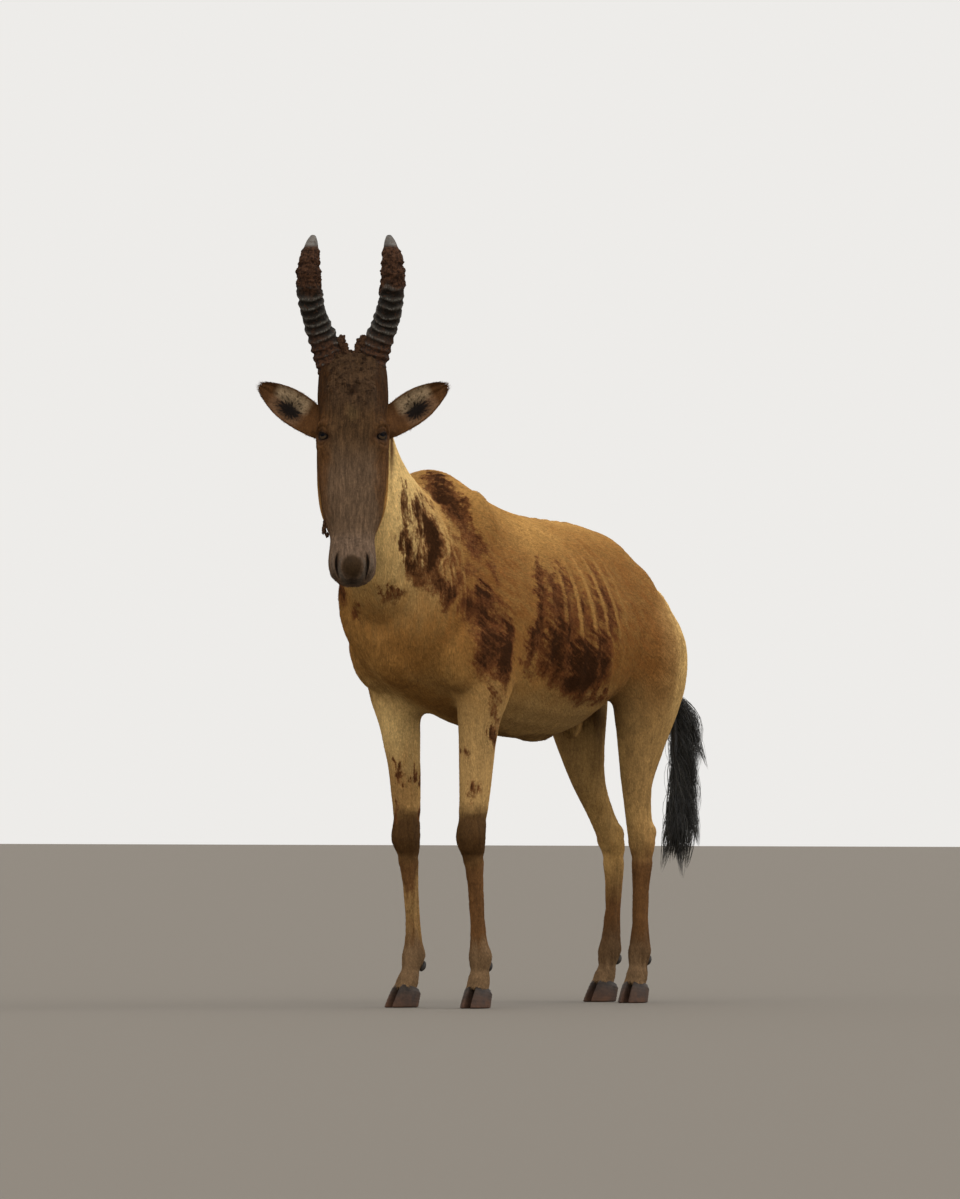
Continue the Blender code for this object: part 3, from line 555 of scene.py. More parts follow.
def head_relief(points):
    """Brows, cheekbones, temples, nostrils, pad, lips and the folds of the face."""
    down, left, out = face_places(points)
    width = np.abs(left)
    push = np.zeros(len(points))
    for _, side in SIDES:
        along, across, ahead = eye_places(points, side)
        near = np.clip(ahead / 0.010, 0, 1)
        from_eye = np.hypot(along, across)
        turn = np.arctan2(-along, across)
        upper = 0.55 + 0.45 * np.sin(turn)
        push += 0.0040 * bell(from_eye, 0.029, 0.008) * near * upper
        push -= 0.0018 * bell(from_eye, 0.0225, 0.0028) * near

    # Hollow of the temple, the long bone under the eye, and the cheek
    push -= 0.0040 * dome(np.hypot(down + 0.062, out + 0.060), 0.045) * (width > 0.04)
    bone = np.hypot((down - 0.070 + 0.6 * (out + 0.045)) / 0.075, (out + 0.045) / 0.018)
    push += 0.0035 * dome(bone, 1.0) * (width > 0.04)
    push -= 0.0040 * dome(np.hypot((down - 0.130) / 0.055, (out + 0.075) / 0.030), 1.0) * (width > 0.03)
    push += 0.0030 * dome(np.hypot((down - 0.060) / 0.060, (out + 0.140) / 0.040), 1.0) * (width > 0.03)
    bridge = bell(width, 0.030, 0.010) * ramp(out, -0.03, -0.01)
    push += 0.0020 * bridge * ramp(down, 0.02, 0.08) * ramp(down, 0.26, 0.20)

    # Nostrils: curved slits to either side of the pad, with a raised wing outside
    muzzle = out > -0.055
    bend = nostril_bend(down)
    slit = np.hypot((width - bend) / 0.0042, (down - NOSTRIL_DOWN) / 0.0240)
    push -= 0.0115 * dome(slit, 1.30) * muzzle
    wing = np.hypot((width - bend - 0.0085) / 0.0062, (down - NOSTRIL_DOWN + 0.002) / 0.0280)
    push += 0.0042 * dome(wing, 1.3) * muzzle

    # The bare pad with a groove down its middle, wrinkles above it, and the lips
    pad = np.hypot(width / 0.026, (down - NOSTRIL_DOWN - 0.006) / 0.030)
    push += 0.0012 * dome(pad, 1.30) * muzzle
    push -= 0.0012 * bell(width, 0, 0.0022) * ramp(down, 0.315, 0.328) * muzzle
    wrinkle = np.cos(2 * math.pi * (down + 0.25 * width + 0.003 * np.sin(left * 130)) / 0.0085)
    above_pad = bell(down, 0.266, 0.016) * ramp(out, -0.04, -0.02) * ramp(width, 0.034, 0.018)
    push += 0.00030 * wrinkle * above_pad
    caked = crust(points)
    for k in np.flatnonzero(caked > 0.01):
        lump = noise.fractal(Vector(points[k]) * 52, 0.75, 2.0, 5)
        push[k] += caked[k] * (0.0010 + 0.0068 * max(lump + 0.15, 0.0))
    mouth = -0.076 - 0.022 * np.clip((0.335 - down) / 0.100, 0, 1)
    reach = ramp(down, 0.215, 0.240)
    push -= 0.0050 * bell(out, mouth, 0.0026) * reach
    push += 0.0022 * bell(np.abs(out - mouth), 0.0080, 0.0045) * reach
    return push


EYE_TILT = -0.34
EYE_OPENING = (0.0078, 0.0150)  # half height and half width


def lidded(points):
    """The skin set close round each eyeball: behind the ball in the opening, and over it outside."""
    height, width = EYE_OPENING
    inside = EYE_RADIUS - 0.0035
    for _, side in SIDES:
        along, across, ahead = eye_places(points, side)
        spot = np.hypot((along + EYE_TILT * across) / height, across / width)
        middle = np.array(eye_middle(side))
        away = points - middle
        distance = np.linalg.norm(away, axis=1)
        rim = EYE_RADIUS + 0.0016 + 0.0012 * (along < 0)
        wanted = inside + (rim - inside) * ramp(spot, 0.90, 1.08)
        wanted = wanted + 0.0006 * bell(spot, 1.14, 0.09) - 0.0012 * bell(spot, 1.42, 0.11)
        hold = ramp(spot, 2.1, 1.35) * (ahead > 0.0) * (distance < 0.040)
        target = distance + (wanted - distance) * hold
        points = middle + away * (target / np.maximum(distance, 1e-6))[:, None]
    return points


def build_skin():
    """The one skin over the flesh, with ears, lids, muscles and folds."""
    skin = flesh_base()
    ease(skin, lambda places: np.ones(len(places)), 26)
    with_ears(skin)
    for zone in (lambda places: head_zone(places) | leg_zone(places), detail_zone, eye_zone):
        finer(skin, zone)
        ease(skin, lambda places: zone(places) * 1.0, 6)

    def at_ear_root(places):
        down, left, _ = face_places(places)
        return bell(np.abs(left), 0.083, 0.010) * (down < 0.02) * (down > -0.13)

    ease(skin, at_ear_root, 8)
    points = on_animal(read(skin.data.vertices, "co"))
    normals = read(skin.data.vertices, "normal")
    off_ear = ~is_ear(points)
    head = ramp(in_head(points), -0.005, 0.020) * off_ear
    relief = body_relief(points, normals) * (in_head(points) < 0) + leg_relief(points, normals)
    relief = (relief + head_relief(points) * head) * off_ear
    depth = COAT_DEPTH * (1 - 0.6 * head) * off_ear
    points = points + normals * (relief - depth)[:, None]
    points = in_hooves(lidded(points))
    skin.data.vertices.foreach_set("co", (points + np.array(SHIFT)).ravel())
    skin.data.update()
    skin.data.shade_smooth()
    skin.data.materials.clear()
    add_layer(skin, "inner", inner_ear(points, normals))
    return skin


class Signal:
    """A node's output, which adds and multiplies as numbers and vectors do."""

    def __init__(self, paint, socket):
        self.paint, self.socket = paint, socket

    def joined_with(self, operation, first, second):
        kind = "Math" if self.socket.type == "VALUE" else "VectorMath"
        return self.paint.add(kind, 0, {0: first, 1: second}, operation=operation)

    def __add__(self, other):
        return self.joined_with("ADD", self, other)

    def __sub__(self, other):
        return self.joined_with("SUBTRACT", self, other)

    def __rsub__(self, other):
        return self.joined_with("SUBTRACT", other, self)

    def __mul__(self, other):
        return self.joined_with("MULTIPLY", self, other)

    def __truediv__(self, other):
        return self.joined_with("DIVIDE", self, other)

    def __abs__(self):
        return self.joined_with("ABSOLUTE", self, 0.0)


class Paint:
    """Builds a material's nodes from the surface's own place on the animal."""

    def __init__(self, name):
        self.material = bpy.data.materials.new(name)
        self.material.use_nodes = True
        self.tree = self.material.node_tree
        self.shader = self.tree.nodes["Principled BSDF"]
        self.own = self.add("TexCoord", "Object")
        self.place = self.own - tuple(SHIFT)

    def add(self, kind, output, inputs=None, **settings):
        """A new node's output. Inputs are numbers, tuples or other signals."""
        node = self.tree.nodes.new("ShaderNode" + kind)
        for name, value in settings.items():
            setattr(node, name, value)
        for name, value in (inputs or {}).items():
            self.feed(node.inputs[name], value)
        return Signal(self, node.outputs[output])

    def feed(self, socket, value):
        if isinstance(value, Signal):
            self.tree.links.new(value.socket, socket)
        elif socket.type == "RGBA" and len(value) == 3:
            socket.default_value = (*value, 1.0)
        else:
            socket.default_value = value

    def finished(self, colour, roughness, specular, height=None, bump=None):
        """The material with these on its shader. The bump is a strength and a distance."""
        values = {"Base Color": colour, "Roughness": roughness, "Specular IOR Level": specular}
        if height:
            inputs = {"Height": height, "Strength": bump[0], "Distance": bump[1]}
            values["Normal"] = self.add("Bump", "Normal", inputs)
        for name, value in values.items():
            self.feed(self.shader.inputs[name], value)
        return self.material

    def larger(self, a, b):
        return self.add("Math", 0, {0: a, 1: b}, operation="MAXIMUM")

    def angle(self, up, along):
        return self.add("Math", 0, {0: up, 1: along}, operation="ARCTAN2")

    def cosine(self, value):
        return self.add("Math", 0, {0: value}, operation="COSINE")

    def length(self, vector):
        return self.add("VectorMath", "Value", {0: vector}, operation="LENGTH")

    def dot(self, a, b):
        return self.add("VectorMath", "Value", {0: a, 1: b}, operation="DOT_PRODUCT")

    def noise(self, scale, detail=3.0, rough=0.5, place=None, stretch=None, output="Fac"):
        place = place or self.place
        if stretch:
            place = place * stretch
        inputs = {"Vector": place, "Scale": scale, "Detail": detail, "Roughness": rough}
        return self.add("TexNoise", output, inputs)

    def ramp(self, value, low, high, first=0.0, last=1.0):
        inputs = {"Value": value, "From Min": low, "From Max": high, "To Min": first, "To Max": last}
        return self.add("MapRange", "Result", inputs, interpolation_type="SMOOTHSTEP")

    def mix(self, share, first, second):
        return self.add("Mix", 2, {0: share, 6: first, 7: second}, data_type="RGBA")

    def blend(self, share, first, second):
        return self.add("Mix", 0, {0: share, 2: first, 3: second}, data_type="FLOAT")

    def parts(self, vector):
        node = self.add("SeparateXYZ", 0, {0: vector}).socket.node
        return [Signal(self, socket) for socket in node.outputs]

    def joined(self, x, y=0.0, z=0.0):
        return self.add("CombineXYZ", 0, {0: x, 1: y, 2: z})

    def grey(self, value):
        return self.joined(value, value, value)

    def layer(self, name):
        return self.add("Attribute", "Fac", attribute_name=name)

    def local(self, place, middle, turn, scale):
        """The place as seen from a middle, along turned axes, in units of scale."""
        inputs = {"Vector": place, "Location": middle, "Rotation": turn, "Scale": scale}
        return self.add("Mapping", 0, inputs, vector_type="TEXTURE")

    def blob(self, place, middle, radii, soft=0.35, turn=(0, 0, 0)):
        """1 within an egg-shaped space, falling to 0 past its edge."""
        return self.ramp(self.length(self.local(place, middle, turn, radii)), 1 + soft, 1 - soft)


# Colours of coat, mud, bare skin, eyes, horns, hooves and tail hair
GOLDEN = (0.350, 0.195, 0.058)
TAWNY = (0.250, 0.124, 0.032)
RUSSET = (0.142, 0.056, 0.013)
PALE = (0.370, 0.225, 0.078)
# Painted shade: a dark tone laid under the belly
BELLY_SHADE = (0.088, 0.043, 0.012)
# Painted light: a pale gold laid on the neck's left side, the rump's rear and the right foreleg's top
PAINTED_LIGHT_GOLD = (0.560, 0.380, 0.150)
LEG_TAN = (0.300, 0.180, 0.065)
CANNON = (0.085, 0.036, 0.012)
KNEE = (0.040, 0.017, 0.005)
PASTERN = (0.115, 0.069, 0.034)
MUD = (0.024, 0.009, 0.003)
MUD_RED = (0.085, 0.027, 0.008)
FACE_BROWN = (0.052, 0.027, 0.011)
FACE_MAUVE = (0.083, 0.050, 0.028)
MUZZLE = (0.098, 0.062, 0.039)
FACE_RED = (0.066, 0.028, 0.009)
CROWN_SIDE = (0.031, 0.013, 0.004)
CROWN_DARK = (0.014, 0.006, 0.002)
CROWN_LUMP = (0.056, 0.030, 0.014)
OCHRE = (0.090, 0.054, 0.021)
PAD_BROWN = (0.028, 0.015, 0.006)
PAD_GREY = (0.090, 0.070, 0.052)
SKIN_BLACK = (0.006, 0.004, 0.003)
EAR_CREAM = (0.270, 0.190, 0.110)
EAR_PINK = (0.120, 0.064, 0.032)
EAR_DARK = (0.028, 0.012, 0.005)
IRIS_DARK = (0.018, 0.010, 0.005)
IRIS_AMBER = (0.066, 0.043, 0.023)
EYE_BALL = (0.012, 0.008, 0.006)
PUPIL = (0.002, 0.002, 0.003)
HORN_DARK = (0.015, 0.012, 0.009)
HORN_GREY = (0.040, 0.035, 0.028)
# Painted shade for the grooves between the horn's rings
HORN_GROOVE_SHADE = (0.009, 0.007, 0.005)
# Painted highlight for the crests of the horn's rings
HORN_CREST_HIGHLIGHT = (0.130, 0.118, 0.100)
TIP_DARK = (0.048, 0.042, 0.037)
TIP_GREY = (0.115, 0.103, 0.090)
CAKED_DARK = (0.014, 0.006, 0.003)
CAKED_BROWN = (0.052, 0.023, 0.011)
CLUMP_DARK = (0.016, 0.007, 0.003)
CLUMP_BROWN = (0.062, 0.030, 0.014)
HOOF_BLACK = (0.009, 0.006, 0.004)
HOOF_BROWN = (0.024, 0.017, 0.012)
DUST = (0.085, 0.038, 0.020)
HAIR_BLACK = (0.0100, 0.0092, 0.0080)
HAIR_SHINE = (0.058, 0.053, 0.042)

# Marks of mud as the photograph shows them: pixel, half width and half height in pixels, lean, strength
MARKS = (
    ((440, 487), (20, 11), 30, 1.00),
    ((458, 507), (13, 18), -30, 0.85),
    ((474, 538), (9, 30), -34, 0.60),
    ((490, 566), (6, 20), -40, 0.42),
    ((408, 502), (4, 20), -14, 0.62),
    ((407, 548), (6, 28), 2, 0.90),
    ((431, 543), (9, 36), -8, 1.10),
    ((418, 566), (15, 20), 0, 0.78),
    ((420, 545), (26, 44), 0, 0.36),
    ((460, 565), (26, 46), -16, 0.32),
    ((387, 597), (12, 10), 0, 0.52),
    ((443, 587), (10, 16), -10, 0.90),
    ((483, 600), (14, 11), 20, 0.85),
    ((467, 612), (13, 24), 0, 0.70),
    ((490, 642), (20, 40), -8, 0.85),
    ((504, 655), (9, 32), 0, 1.20),
    ((536, 620), (7, 54), 4, 0.85),
    ((563, 608), (34, 42), 8, 0.62),
    ((604, 622), (18, 40), -12, 0.58),
    ((559, 648), (22, 36), -10, 0.92),
    ((587, 666), (26, 32), -24, 1.20),
    ((576, 640), (44, 60), -6, 0.36),
    ((601, 697), (13, 10), 0, 0.60),
    ((491, 738), (4, 12), 0, 0.90),
    ((409, 757), (3, 9), 0, 0.75),
    ((414, 797), (4, 13), 0, 0.65),
    ((496, 712), (6, 32), 0, 0.45),
)
MARK_DEPTH = 0.11  # how deep a mark reaches along the view
RIGHT_SHIFT = 0.035  # the right flank's marks lie this much further back
HAIR_FALL = math.radians(-27)  # how far below level the trunk's hair points backwards
RIB_PITCH = 0.052
RIB_TOP = 1.05


def rib_place(y, z):
    """Counts ribs along the trunk: they fan out backwards as they go down."""
    return (y - (y * 1.1 + 0.22) * (RIB_TOP - z)) / RIB_PITCH


class Marks:
    """Where each mark of the photograph lies on the skin."""

    def __init__(self, skin):
        self.tree = BVHTree.FromObject(skin, bpy.context.evaluated_depsgraph_get())

    def find(self, pixel):
        eye = camera_place()
        hit, *_ = self.tree.ray_cast(eye, (photo_place(pixel) - eye).normalized())
        if hit is None:
            hit = self.tree.find_nearest(photo_place(pixel))[0]
        return hit - SHIFT


def mud_layer(paint, marks, place):
    """How thick the mud lies: the photograph's marks on the left, and their like on the right."""
    x, y, z = paint.parts(place)
    shift = paint.ramp(x, 0.03, -0.03, 0.0, -RIGHT_SHIFT)
    mirrored = paint.joined(abs(x), y + shift, z - shift)
    total = 0.0
    for pixel, size, lean, strength in MARKS:
        spot = marks.find(pixel)
        radii = (size[0] / PIXELS_PER_METRE, MARK_DEPTH, size[1] / PIXELS_PER_METRE)
        turn = (0, math.radians(lean), VIEW_TURN)
        shape = paint.blob(mirrored, (abs(spot.x), spot.y, spot.z), radii, 0.80, turn)
        total = paint.larger(total, shape * strength)
    return total


def trunk_colour(paint, place, streak):
    """Golden above and behind, russet over shoulder and flank, painted shade below, as a colour by place."""
    broad = paint.noise(5.0, 4.0, 0.6)
    colour = paint.mix(paint.ramp(broad, 0.38, 0.70, 0.0, 0.55), TAWNY, GOLDEN)

    def over(share, tint, middle, radii, soft=0.5):
        spot = paint.blob(place, middle, radii, soft=soft) * share
        return paint.mix(spot, colour, tint)

    shoulder = paint.blob(place, (0, -0.40, 0.95), (0.50, 0.21, 0.20), soft=0.5)
    flank = paint.blob(place, (0, 0.10, 0.91), (0.50, 0.42, 0.21), soft=0.45)
    red = paint.larger(shoulder, flank) * paint.ramp(streak, 0.30, 0.66, 0.40, 1.0)
    colour = paint.mix(red, colour, RUSSET)
    colour = over(0.80, RUSSET, (0, 0.36, 0.78), (0.50, 0.13, 0.14), 0.7)
    # The rump's rear paler, and lighter still with painted light
    colour = over(1.00, PAINTED_LIGHT_GOLD, (0, 0.62, 0.86), (0.30, 0.16, 0.32), 0.9)
    # Painted top light: the back's top line lightened towards golden
    colour = over(0.25, GOLDEN, (0, -0.08, 1.19), (0.16, 0.62, 0.10))
    # Painted shade darkens the belly
    colour = over(0.95, BELLY_SHADE, (0, 0.12, 0.58), (0.22, 0.48, 0.20), 0.5)
    # Painted light on the left side of the neck
    colour = over(0.90, PAINTED_LIGHT_GOLD, (0.08, -0.76, 1.20), (0.15, 0.17, 0.26), 0.6)
    # Painted shade: the lower chest darkened with russet, as under the head's shadow
    return over(0.45, RUSSET, (-0.02, -0.66, 0.88), (0.22, 0.14, 0.18), 0.7)


def leg_colour(paint, colour, place, streak):
    """Pale above, dark knees, red-brown below and grey-brown over the hooves."""
    x, y, z = paint.parts(place)
    width = abs(x)
    fore = paint.ramp(y, 0.12, 0.08)
    rear = 1.0 - fore
    high = z + (streak - 0.5) * 0.20
    leg = paint.ramp(high, 0.82, 0.64) * paint.ramp(width, 0.03, 0.06)
    colour = paint.mix(leg * paint.blend(rear, 1.0, 0.6), colour, LEG_TAN)
    inner = paint.ramp(width, 0.090, 0.062) * paint.ramp(z, 0.70, 0.60)
    colour = paint.mix(inner * 0.45, colour, PALE)
    far_hind = paint.ramp(x, 0.0, -0.02) * rear
    ragged = z + (streak - 0.5) * 0.14 + far_hind * 0.09
    # Painted shade on the middle of the right foreleg, and painted light on the front of its top
    shaded = paint.blob(place, (-0.105, -0.44, 0.50), (0.07, 0.16, 0.10), soft=0.7)
    colour = paint.mix(shaded * 0.40, colour, RUSSET)
    lit = paint.blob(place, (-0.09, -0.47, 0.66), (0.07, 0.12, 0.08), soft=0.7)
    colour = paint.mix(lit * 0.70, colour, PAINTED_LIGHT_GOLD)
    colour = paint.mix(paint.ramp(ragged, 0.44, 0.31) * 0.95, colour, CANNON)
    knee = paint.ramp(ragged, 0.49, 0.43) * paint.ramp(ragged, 0.32, 0.37)
    colour = paint.mix(knee * (fore * 0.92), colour, KNEE)
    behind = paint.blob(place, (0, -0.335, 0.25), (0.5, 0.022, 0.10), soft=0.6)
    colour = paint.mix(behind * 0.55, colour, LEG_TAN)
    colour = paint.mix(paint.ramp(z, 0.19, 0.12) * 0.9, colour, PASTERN)
    patch = paint.ramp(z, 0.20, 0.16) * paint.ramp(z, 0.07, 0.11)
    return paint.mix(patch * rear * 0.45, colour, KNEE)


def ear_colour(paint, flat):
    """Brown outside; inside a dark rim, tip and base, and pale hair that spreads from a dark middle."""
    along, up, _ = paint.parts(paint.local(flat, EAR_ROOT, (0, 0, EAR_LEAN), (1, 1, 1)))
    away_along, away_up = along - EAR_MIDDLE[0], up - EAR_MIDDLE[1]
    far = paint.length(paint.joined(away_along * 0.62, away_up))
    turn = paint.angle(away_up, away_along)
    ray = paint.noise(5.5, 3.0, 0.6, place=paint.joined(turn, far * 18.0))
    lining = paint.mix(paint.ramp(up, 0.000, 0.012), EAR_PINK, EAR_CREAM)
    lining = paint.mix(paint.ramp(ray, 0.50, 0.70, 0.0, 0.75), lining, EAR_DARK)
    reach = far + (ray - 0.5) * 0.056
    lining = paint.mix(paint.ramp(reach, 0.030, 0.010), lining, SKIN_BLACK)
    ends = paint.larger(paint.ramp(along, 0.088, 0.062), paint.ramp(along, 0.150, 0.170))
    lining = paint.mix(ends, lining, FACE_RED)
    outside = paint.mix(paint.ramp(along, 0.13, 0.19), FACE_RED, EAR_DARK)
    return paint.mix(paint.layer("inner"), outside, lining)


def head_colour(paint, colour, drift):
    """The head's colours, in distances to its side, up the face and out of it. Also bare skin."""
    place = paint.place
    head_turn = Matrix((FACE_LEFT, -FACE_DOWN, FACE_OUT)).transposed().to_euler()
    local = paint.local(place, tuple(FACE_ORIGIN), tuple(head_turn), (1, 1, 1))
    true_side, true_rise, true_out = paint.parts(local)
    true_side = abs(true_side)
    flat = paint.joined(true_side, true_rise, true_out)
    side, rise, out = paint.parts(flat + drift * ((0.28,) * 3))
    past = paint.dot(place - THROAT, tuple(Vector(NECK_AXIS).normalized()))
    head = paint.ramp(past, -0.010, 0.040)

    # Brown face, mauve towards the muzzle, with reddish sides
    strokes = paint.noise(210.0, 4.0, 0.62, place=local, stretch=(1.0, 0.13, 1.0))
    lumps = paint.noise(58.0, 5.0, 0.70, place=local, stretch=(1.0, 1.4, 1.0))
    bands = paint.noise(34.0, 4.0, 0.65, place=local, stretch=(1.0, 0.35, 1.0))
    shift = bands - 0.5
    edge = side + shift * 0.060
    face = paint.mix(paint.ramp(rise, 0.01, -0.11), FACE_BROWN, FACE_MAUVE)
    face = paint.mix(paint.ramp(rise, -0.22, -0.27), face, MUZZLE)
    upper = paint.ramp(rise, -0.26, -0.20)
    sides = paint.ramp(edge, 0.040, 0.080) * upper
    face = paint.mix(sides * 0.90, face, FACE_RED)
    diamond = paint.blob(flat, (0, 0.058, 0.01), (0.013, 0.026, 0.05), soft=0.8)
    face = paint.mix(diamond * 0.85, face, OCHRE)

    # The crown: dried mud between two reddish bands, and a dark whorl
    caked = paint.mix(paint.ramp(lumps, 0.36, 0.58), CROWN_DARK, CROWN_LUMP)
    crown = paint.mix(paint.ramp(edge, 0.066, 0.050), CROWN_SIDE, caked)
    above = paint.ramp(rise + shift * 0.08, 0.030, 0.100)
    face = paint.mix(above, face, crown)
    veil = paint.ramp(rise, -0.05, 0.04) * paint.ramp(lumps, 0.46, 0.62, 0.0, 0.45)
    face = paint.mix(veil, face, CROWN_DARK)
    whorl = paint.blob(flat, (0, 0.101, 0.0), (0.012, 0.010, 0.05), soft=0.8)
    face = paint.mix(whorl * 0.85, face, CROWN_DARK)

    # Jaw and throat
    jaw = paint.mix(paint.ramp(rise, 0.02, -0.12), FACE_RED, TAWNY)
    low = paint.ramp(out, -0.060, -0.100) * paint.ramp(rise, -0.29, -0.24)
    face = paint.mix(low, face, jaw)
    face = face * paint.grey(paint.ramp(strokes, 0.28, 0.72, 0.68, 1.34))

    # Muzzle: slits for nostrils with a pale arc inside each, a dark pad, and dark lips
    fall = true_rise * -1.0
    bend = paint.cosine((fall - NOSTRIL_TURN) / NOSTRIL_LENGTH) * NOSTRIL_SWING + NOSTRIL_OUT
    beside = true_side - bend + 0.04
    round_bend = paint.joined(beside, true_rise, 0.0)
    slit = paint.blob(round_bend, (0.0405, -NOSTRIL_DOWN, 0), (0.0032, 0.0240, 1.0), soft=0.35)
    wing = paint.blob(round_bend, (0.0490, -NOSTRIL_DOWN, 0), (0.0040, 0.0240, 1.0), soft=0.8)
    front = paint.ramp(true_out, -0.085, -0.060)
    from_pad = paint.length(paint.local(flat, (0.0, -0.324, 0), (0, 0, 0), (0.0240, 0.0225, 1e3)))
    pad = paint.ramp(from_pad, 1.25, 0.75) * front
    arc = paint.ramp(from_pad, 1.05, 1.22) * paint.ramp(from_pad, 1.50, 1.32)
    arc = arc * paint.ramp(fall, 0.300, 0.318) * front
    face = paint.mix(pad * 0.92, face, PAD_BROWN)
    pale = paint.larger(arc * 0.75, wing * 0.45)
    face = paint.mix(pale, face, PAD_GREY)
    lip = paint.blob(flat, (0.0, -0.356, -0.055), (0.016, 0.010, 0.030), soft=0.5)
    look = (0, math.atan2(EYE_LOOK[0], EYE_LOOK[1]), 0)
    opening = paint.local(flat, (EYE_SPOT[1], 0.0, EYE_SPOT[2]), look, (EYE_OPENING[1], EYE_OPENING[0], 1))
    across, tall, ahead = paint.parts(opening)
    tall = tall + across * (EYE_TILT * EYE_OPENING[1] / EYE_OPENING[0])
    spot = paint.length(paint.joined(across, tall))
    before = paint.ramp(ahead, 0.0, 0.006)
    rim = paint.ramp(spot, 1.42, 1.16) * before
    dark_rim = paint.ramp(spot, 2.8, 1.3, 0.0, 0.70) * before
    face = paint.mix(dark_rim, face, EAR_DARK)
    bare = paint.larger(slit * front, paint.larger(rim, lip))
    face = paint.mix(bare * 0.92, face, SKIN_BLACK)
    colour = paint.mix(head, colour, face)

    ear = paint.ramp(true_side, 0.080, 0.090) * paint.ramp(true_rise, -0.05, -0.02)
    ear = ear * paint.ramp(true_out, -0.22, -0.19)
    return paint.mix(ear, colour, ear_colour(paint, flat)), paint.larger(bare, pad * 0.5)


def coat_colour(paint, marks):
    """Colour, mud and bareness of skin and coat, by place alone."""
    place = paint.place
    drift = (paint.noise(8.0, 6.0, 0.6, output="Color") - (0.5,) * 3) * ((0.14,) * 3)
    _, y, z = paint.parts(place)

    # Noise drawn out along the hair: backwards on the trunk, down the neck, the rump and the legs
    trunk_lie = paint.local(place, (0, 0, 0), (HAIR_FALL, 0, 0), (1, 1, 1))
    backward = paint.noise(75.0, 4.0, 0.65, place=trunk_lie, stretch=(1.0, 0.16, 1.0))
    downward = paint.noise(75.0, 4.0, 0.65, stretch=(1.0, 1.0, 0.16))
    hanging = paint.larger(paint.ramp(y, -0.46, -0.58), paint.ramp(y, 0.34, 0.46))
    hanging = paint.larger(hanging, paint.ramp(z, 0.76, 0.66))
    streak = paint.blend(hanging, backward, downward)
    feather = paint.grey(streak - 0.5) * (0.0, 0.08, -0.12)
    loose = place + drift + feather
    fine = paint.noise(300.0, 3.0, 0.6, stretch=(1.0, 0.4, 0.6))
    grit = paint.noise(120.0, 4.0, 0.75)

    colour = trunk_colour(paint, loose, streak)
    colour = leg_colour(paint, colour, loose, streak)
    colour, bare = head_colour(paint, colour, drift)

    # Mud: red where thin, dark where thick, broken up along the hair; painted highlight on the rib crests
    mud = mud_layer(paint, marks, loose)
    patches = paint.noise(24.0, 5.0, 0.65)
    uneven = (streak - 0.5) * 1.7 + (grit - 0.5) * 1.0 + (patches - 0.5) * 1.4
    wavy = rib_place(y, z) + (grit - 0.5) * 0.3
    rib = paint.cosine(wavy * (2 * math.pi))
    rib_zone = paint.blob(loose, (0, -0.01, 0.96), (0.50, 0.17, 0.11), soft=0.45)
    # Painted highlight on the rib crests: the coat lighter towards golden and the mud thinner there
    rib_crest_light = paint.ramp(rib, 0.45, 0.95) * rib_zone * 0.55
    mud = mud + uneven * paint.ramp(mud, 0.0, 0.30) - rib_crest_light
    colour = paint.mix(rib_crest_light * 0.75, colour, GOLDEN)
    colour = paint.mix(paint.ramp(mud, 0.04, 0.60, 0.0, 0.92), colour, MUD_RED)
    thick = paint.ramp(mud, 0.50, 1.00)
    colour = paint.mix(thick * 0.95, colour, MUD)

    # Fine hair-wide change of tone
    tone = paint.ramp(fine, 0.25, 0.75, 0.80, 1.18) + paint.ramp(streak, 0.25, 0.75, -0.20, 0.20)
    colour = colour * paint.grey(tone)
    return colour, thick, bare, streak, fine


def coat_material(name, marks, tufts=False):
    paint = Paint(name)
    colour, mud, bare, streak, fine = coat_colour(paint, marks)
    if tufts:
        # The tufts' painted shade: darker at the root and lighter at the tip, with a random tone per tuft
        colour = colour * paint.grey(paint.layer("shade"))
    roughness = paint.blend(bare, paint.blend(mud, 0.70, 0.95), 0.45)
    height = fine + paint.noise(420.0, 3.0, 0.6) * 0.6 + streak * 0.35
    return paint.finished(colour, roughness, 0.05, height, (0.30, 0.0009))


def eye_material():
    """Amber-dark iris with a level pupil, on a dark ball. Local Z is the look and local X is level."""
    paint = Paint("eye_wet")
    x, y, _ = paint.parts(paint.own)
    away = paint.length(paint.joined(x, y))
    fibre = paint.noise(9.0, 3.0, 0.6, place=paint.joined(paint.angle(y, x), away * 60.0))
    iris = paint.mix(fibre, IRIS_DARK, IRIS_AMBER)
    # Painted shade from the upper lid: the iris darkens towards its top
    iris = paint.mix(paint.ramp(y, -0.0035, 0.0020, 0.0, 0.85), iris, SKIN_BLACK)
    colour = paint.mix(paint.ramp(away, 0.0094, 0.0106), iris, EYE_BALL)
    pupil = paint.ramp(paint.length(paint.joined(x * 0.85, y * 1.45)), 0.0064, 0.0054)
    colour = paint.mix(pupil, colour, PUPIL)
    paint.shader.inputs["Coat Weight"].default_value = 0.03
    paint.shader.inputs["Coat Roughness"].default_value = 0.04
    return paint.finished(colour, 0.25, 0.0)


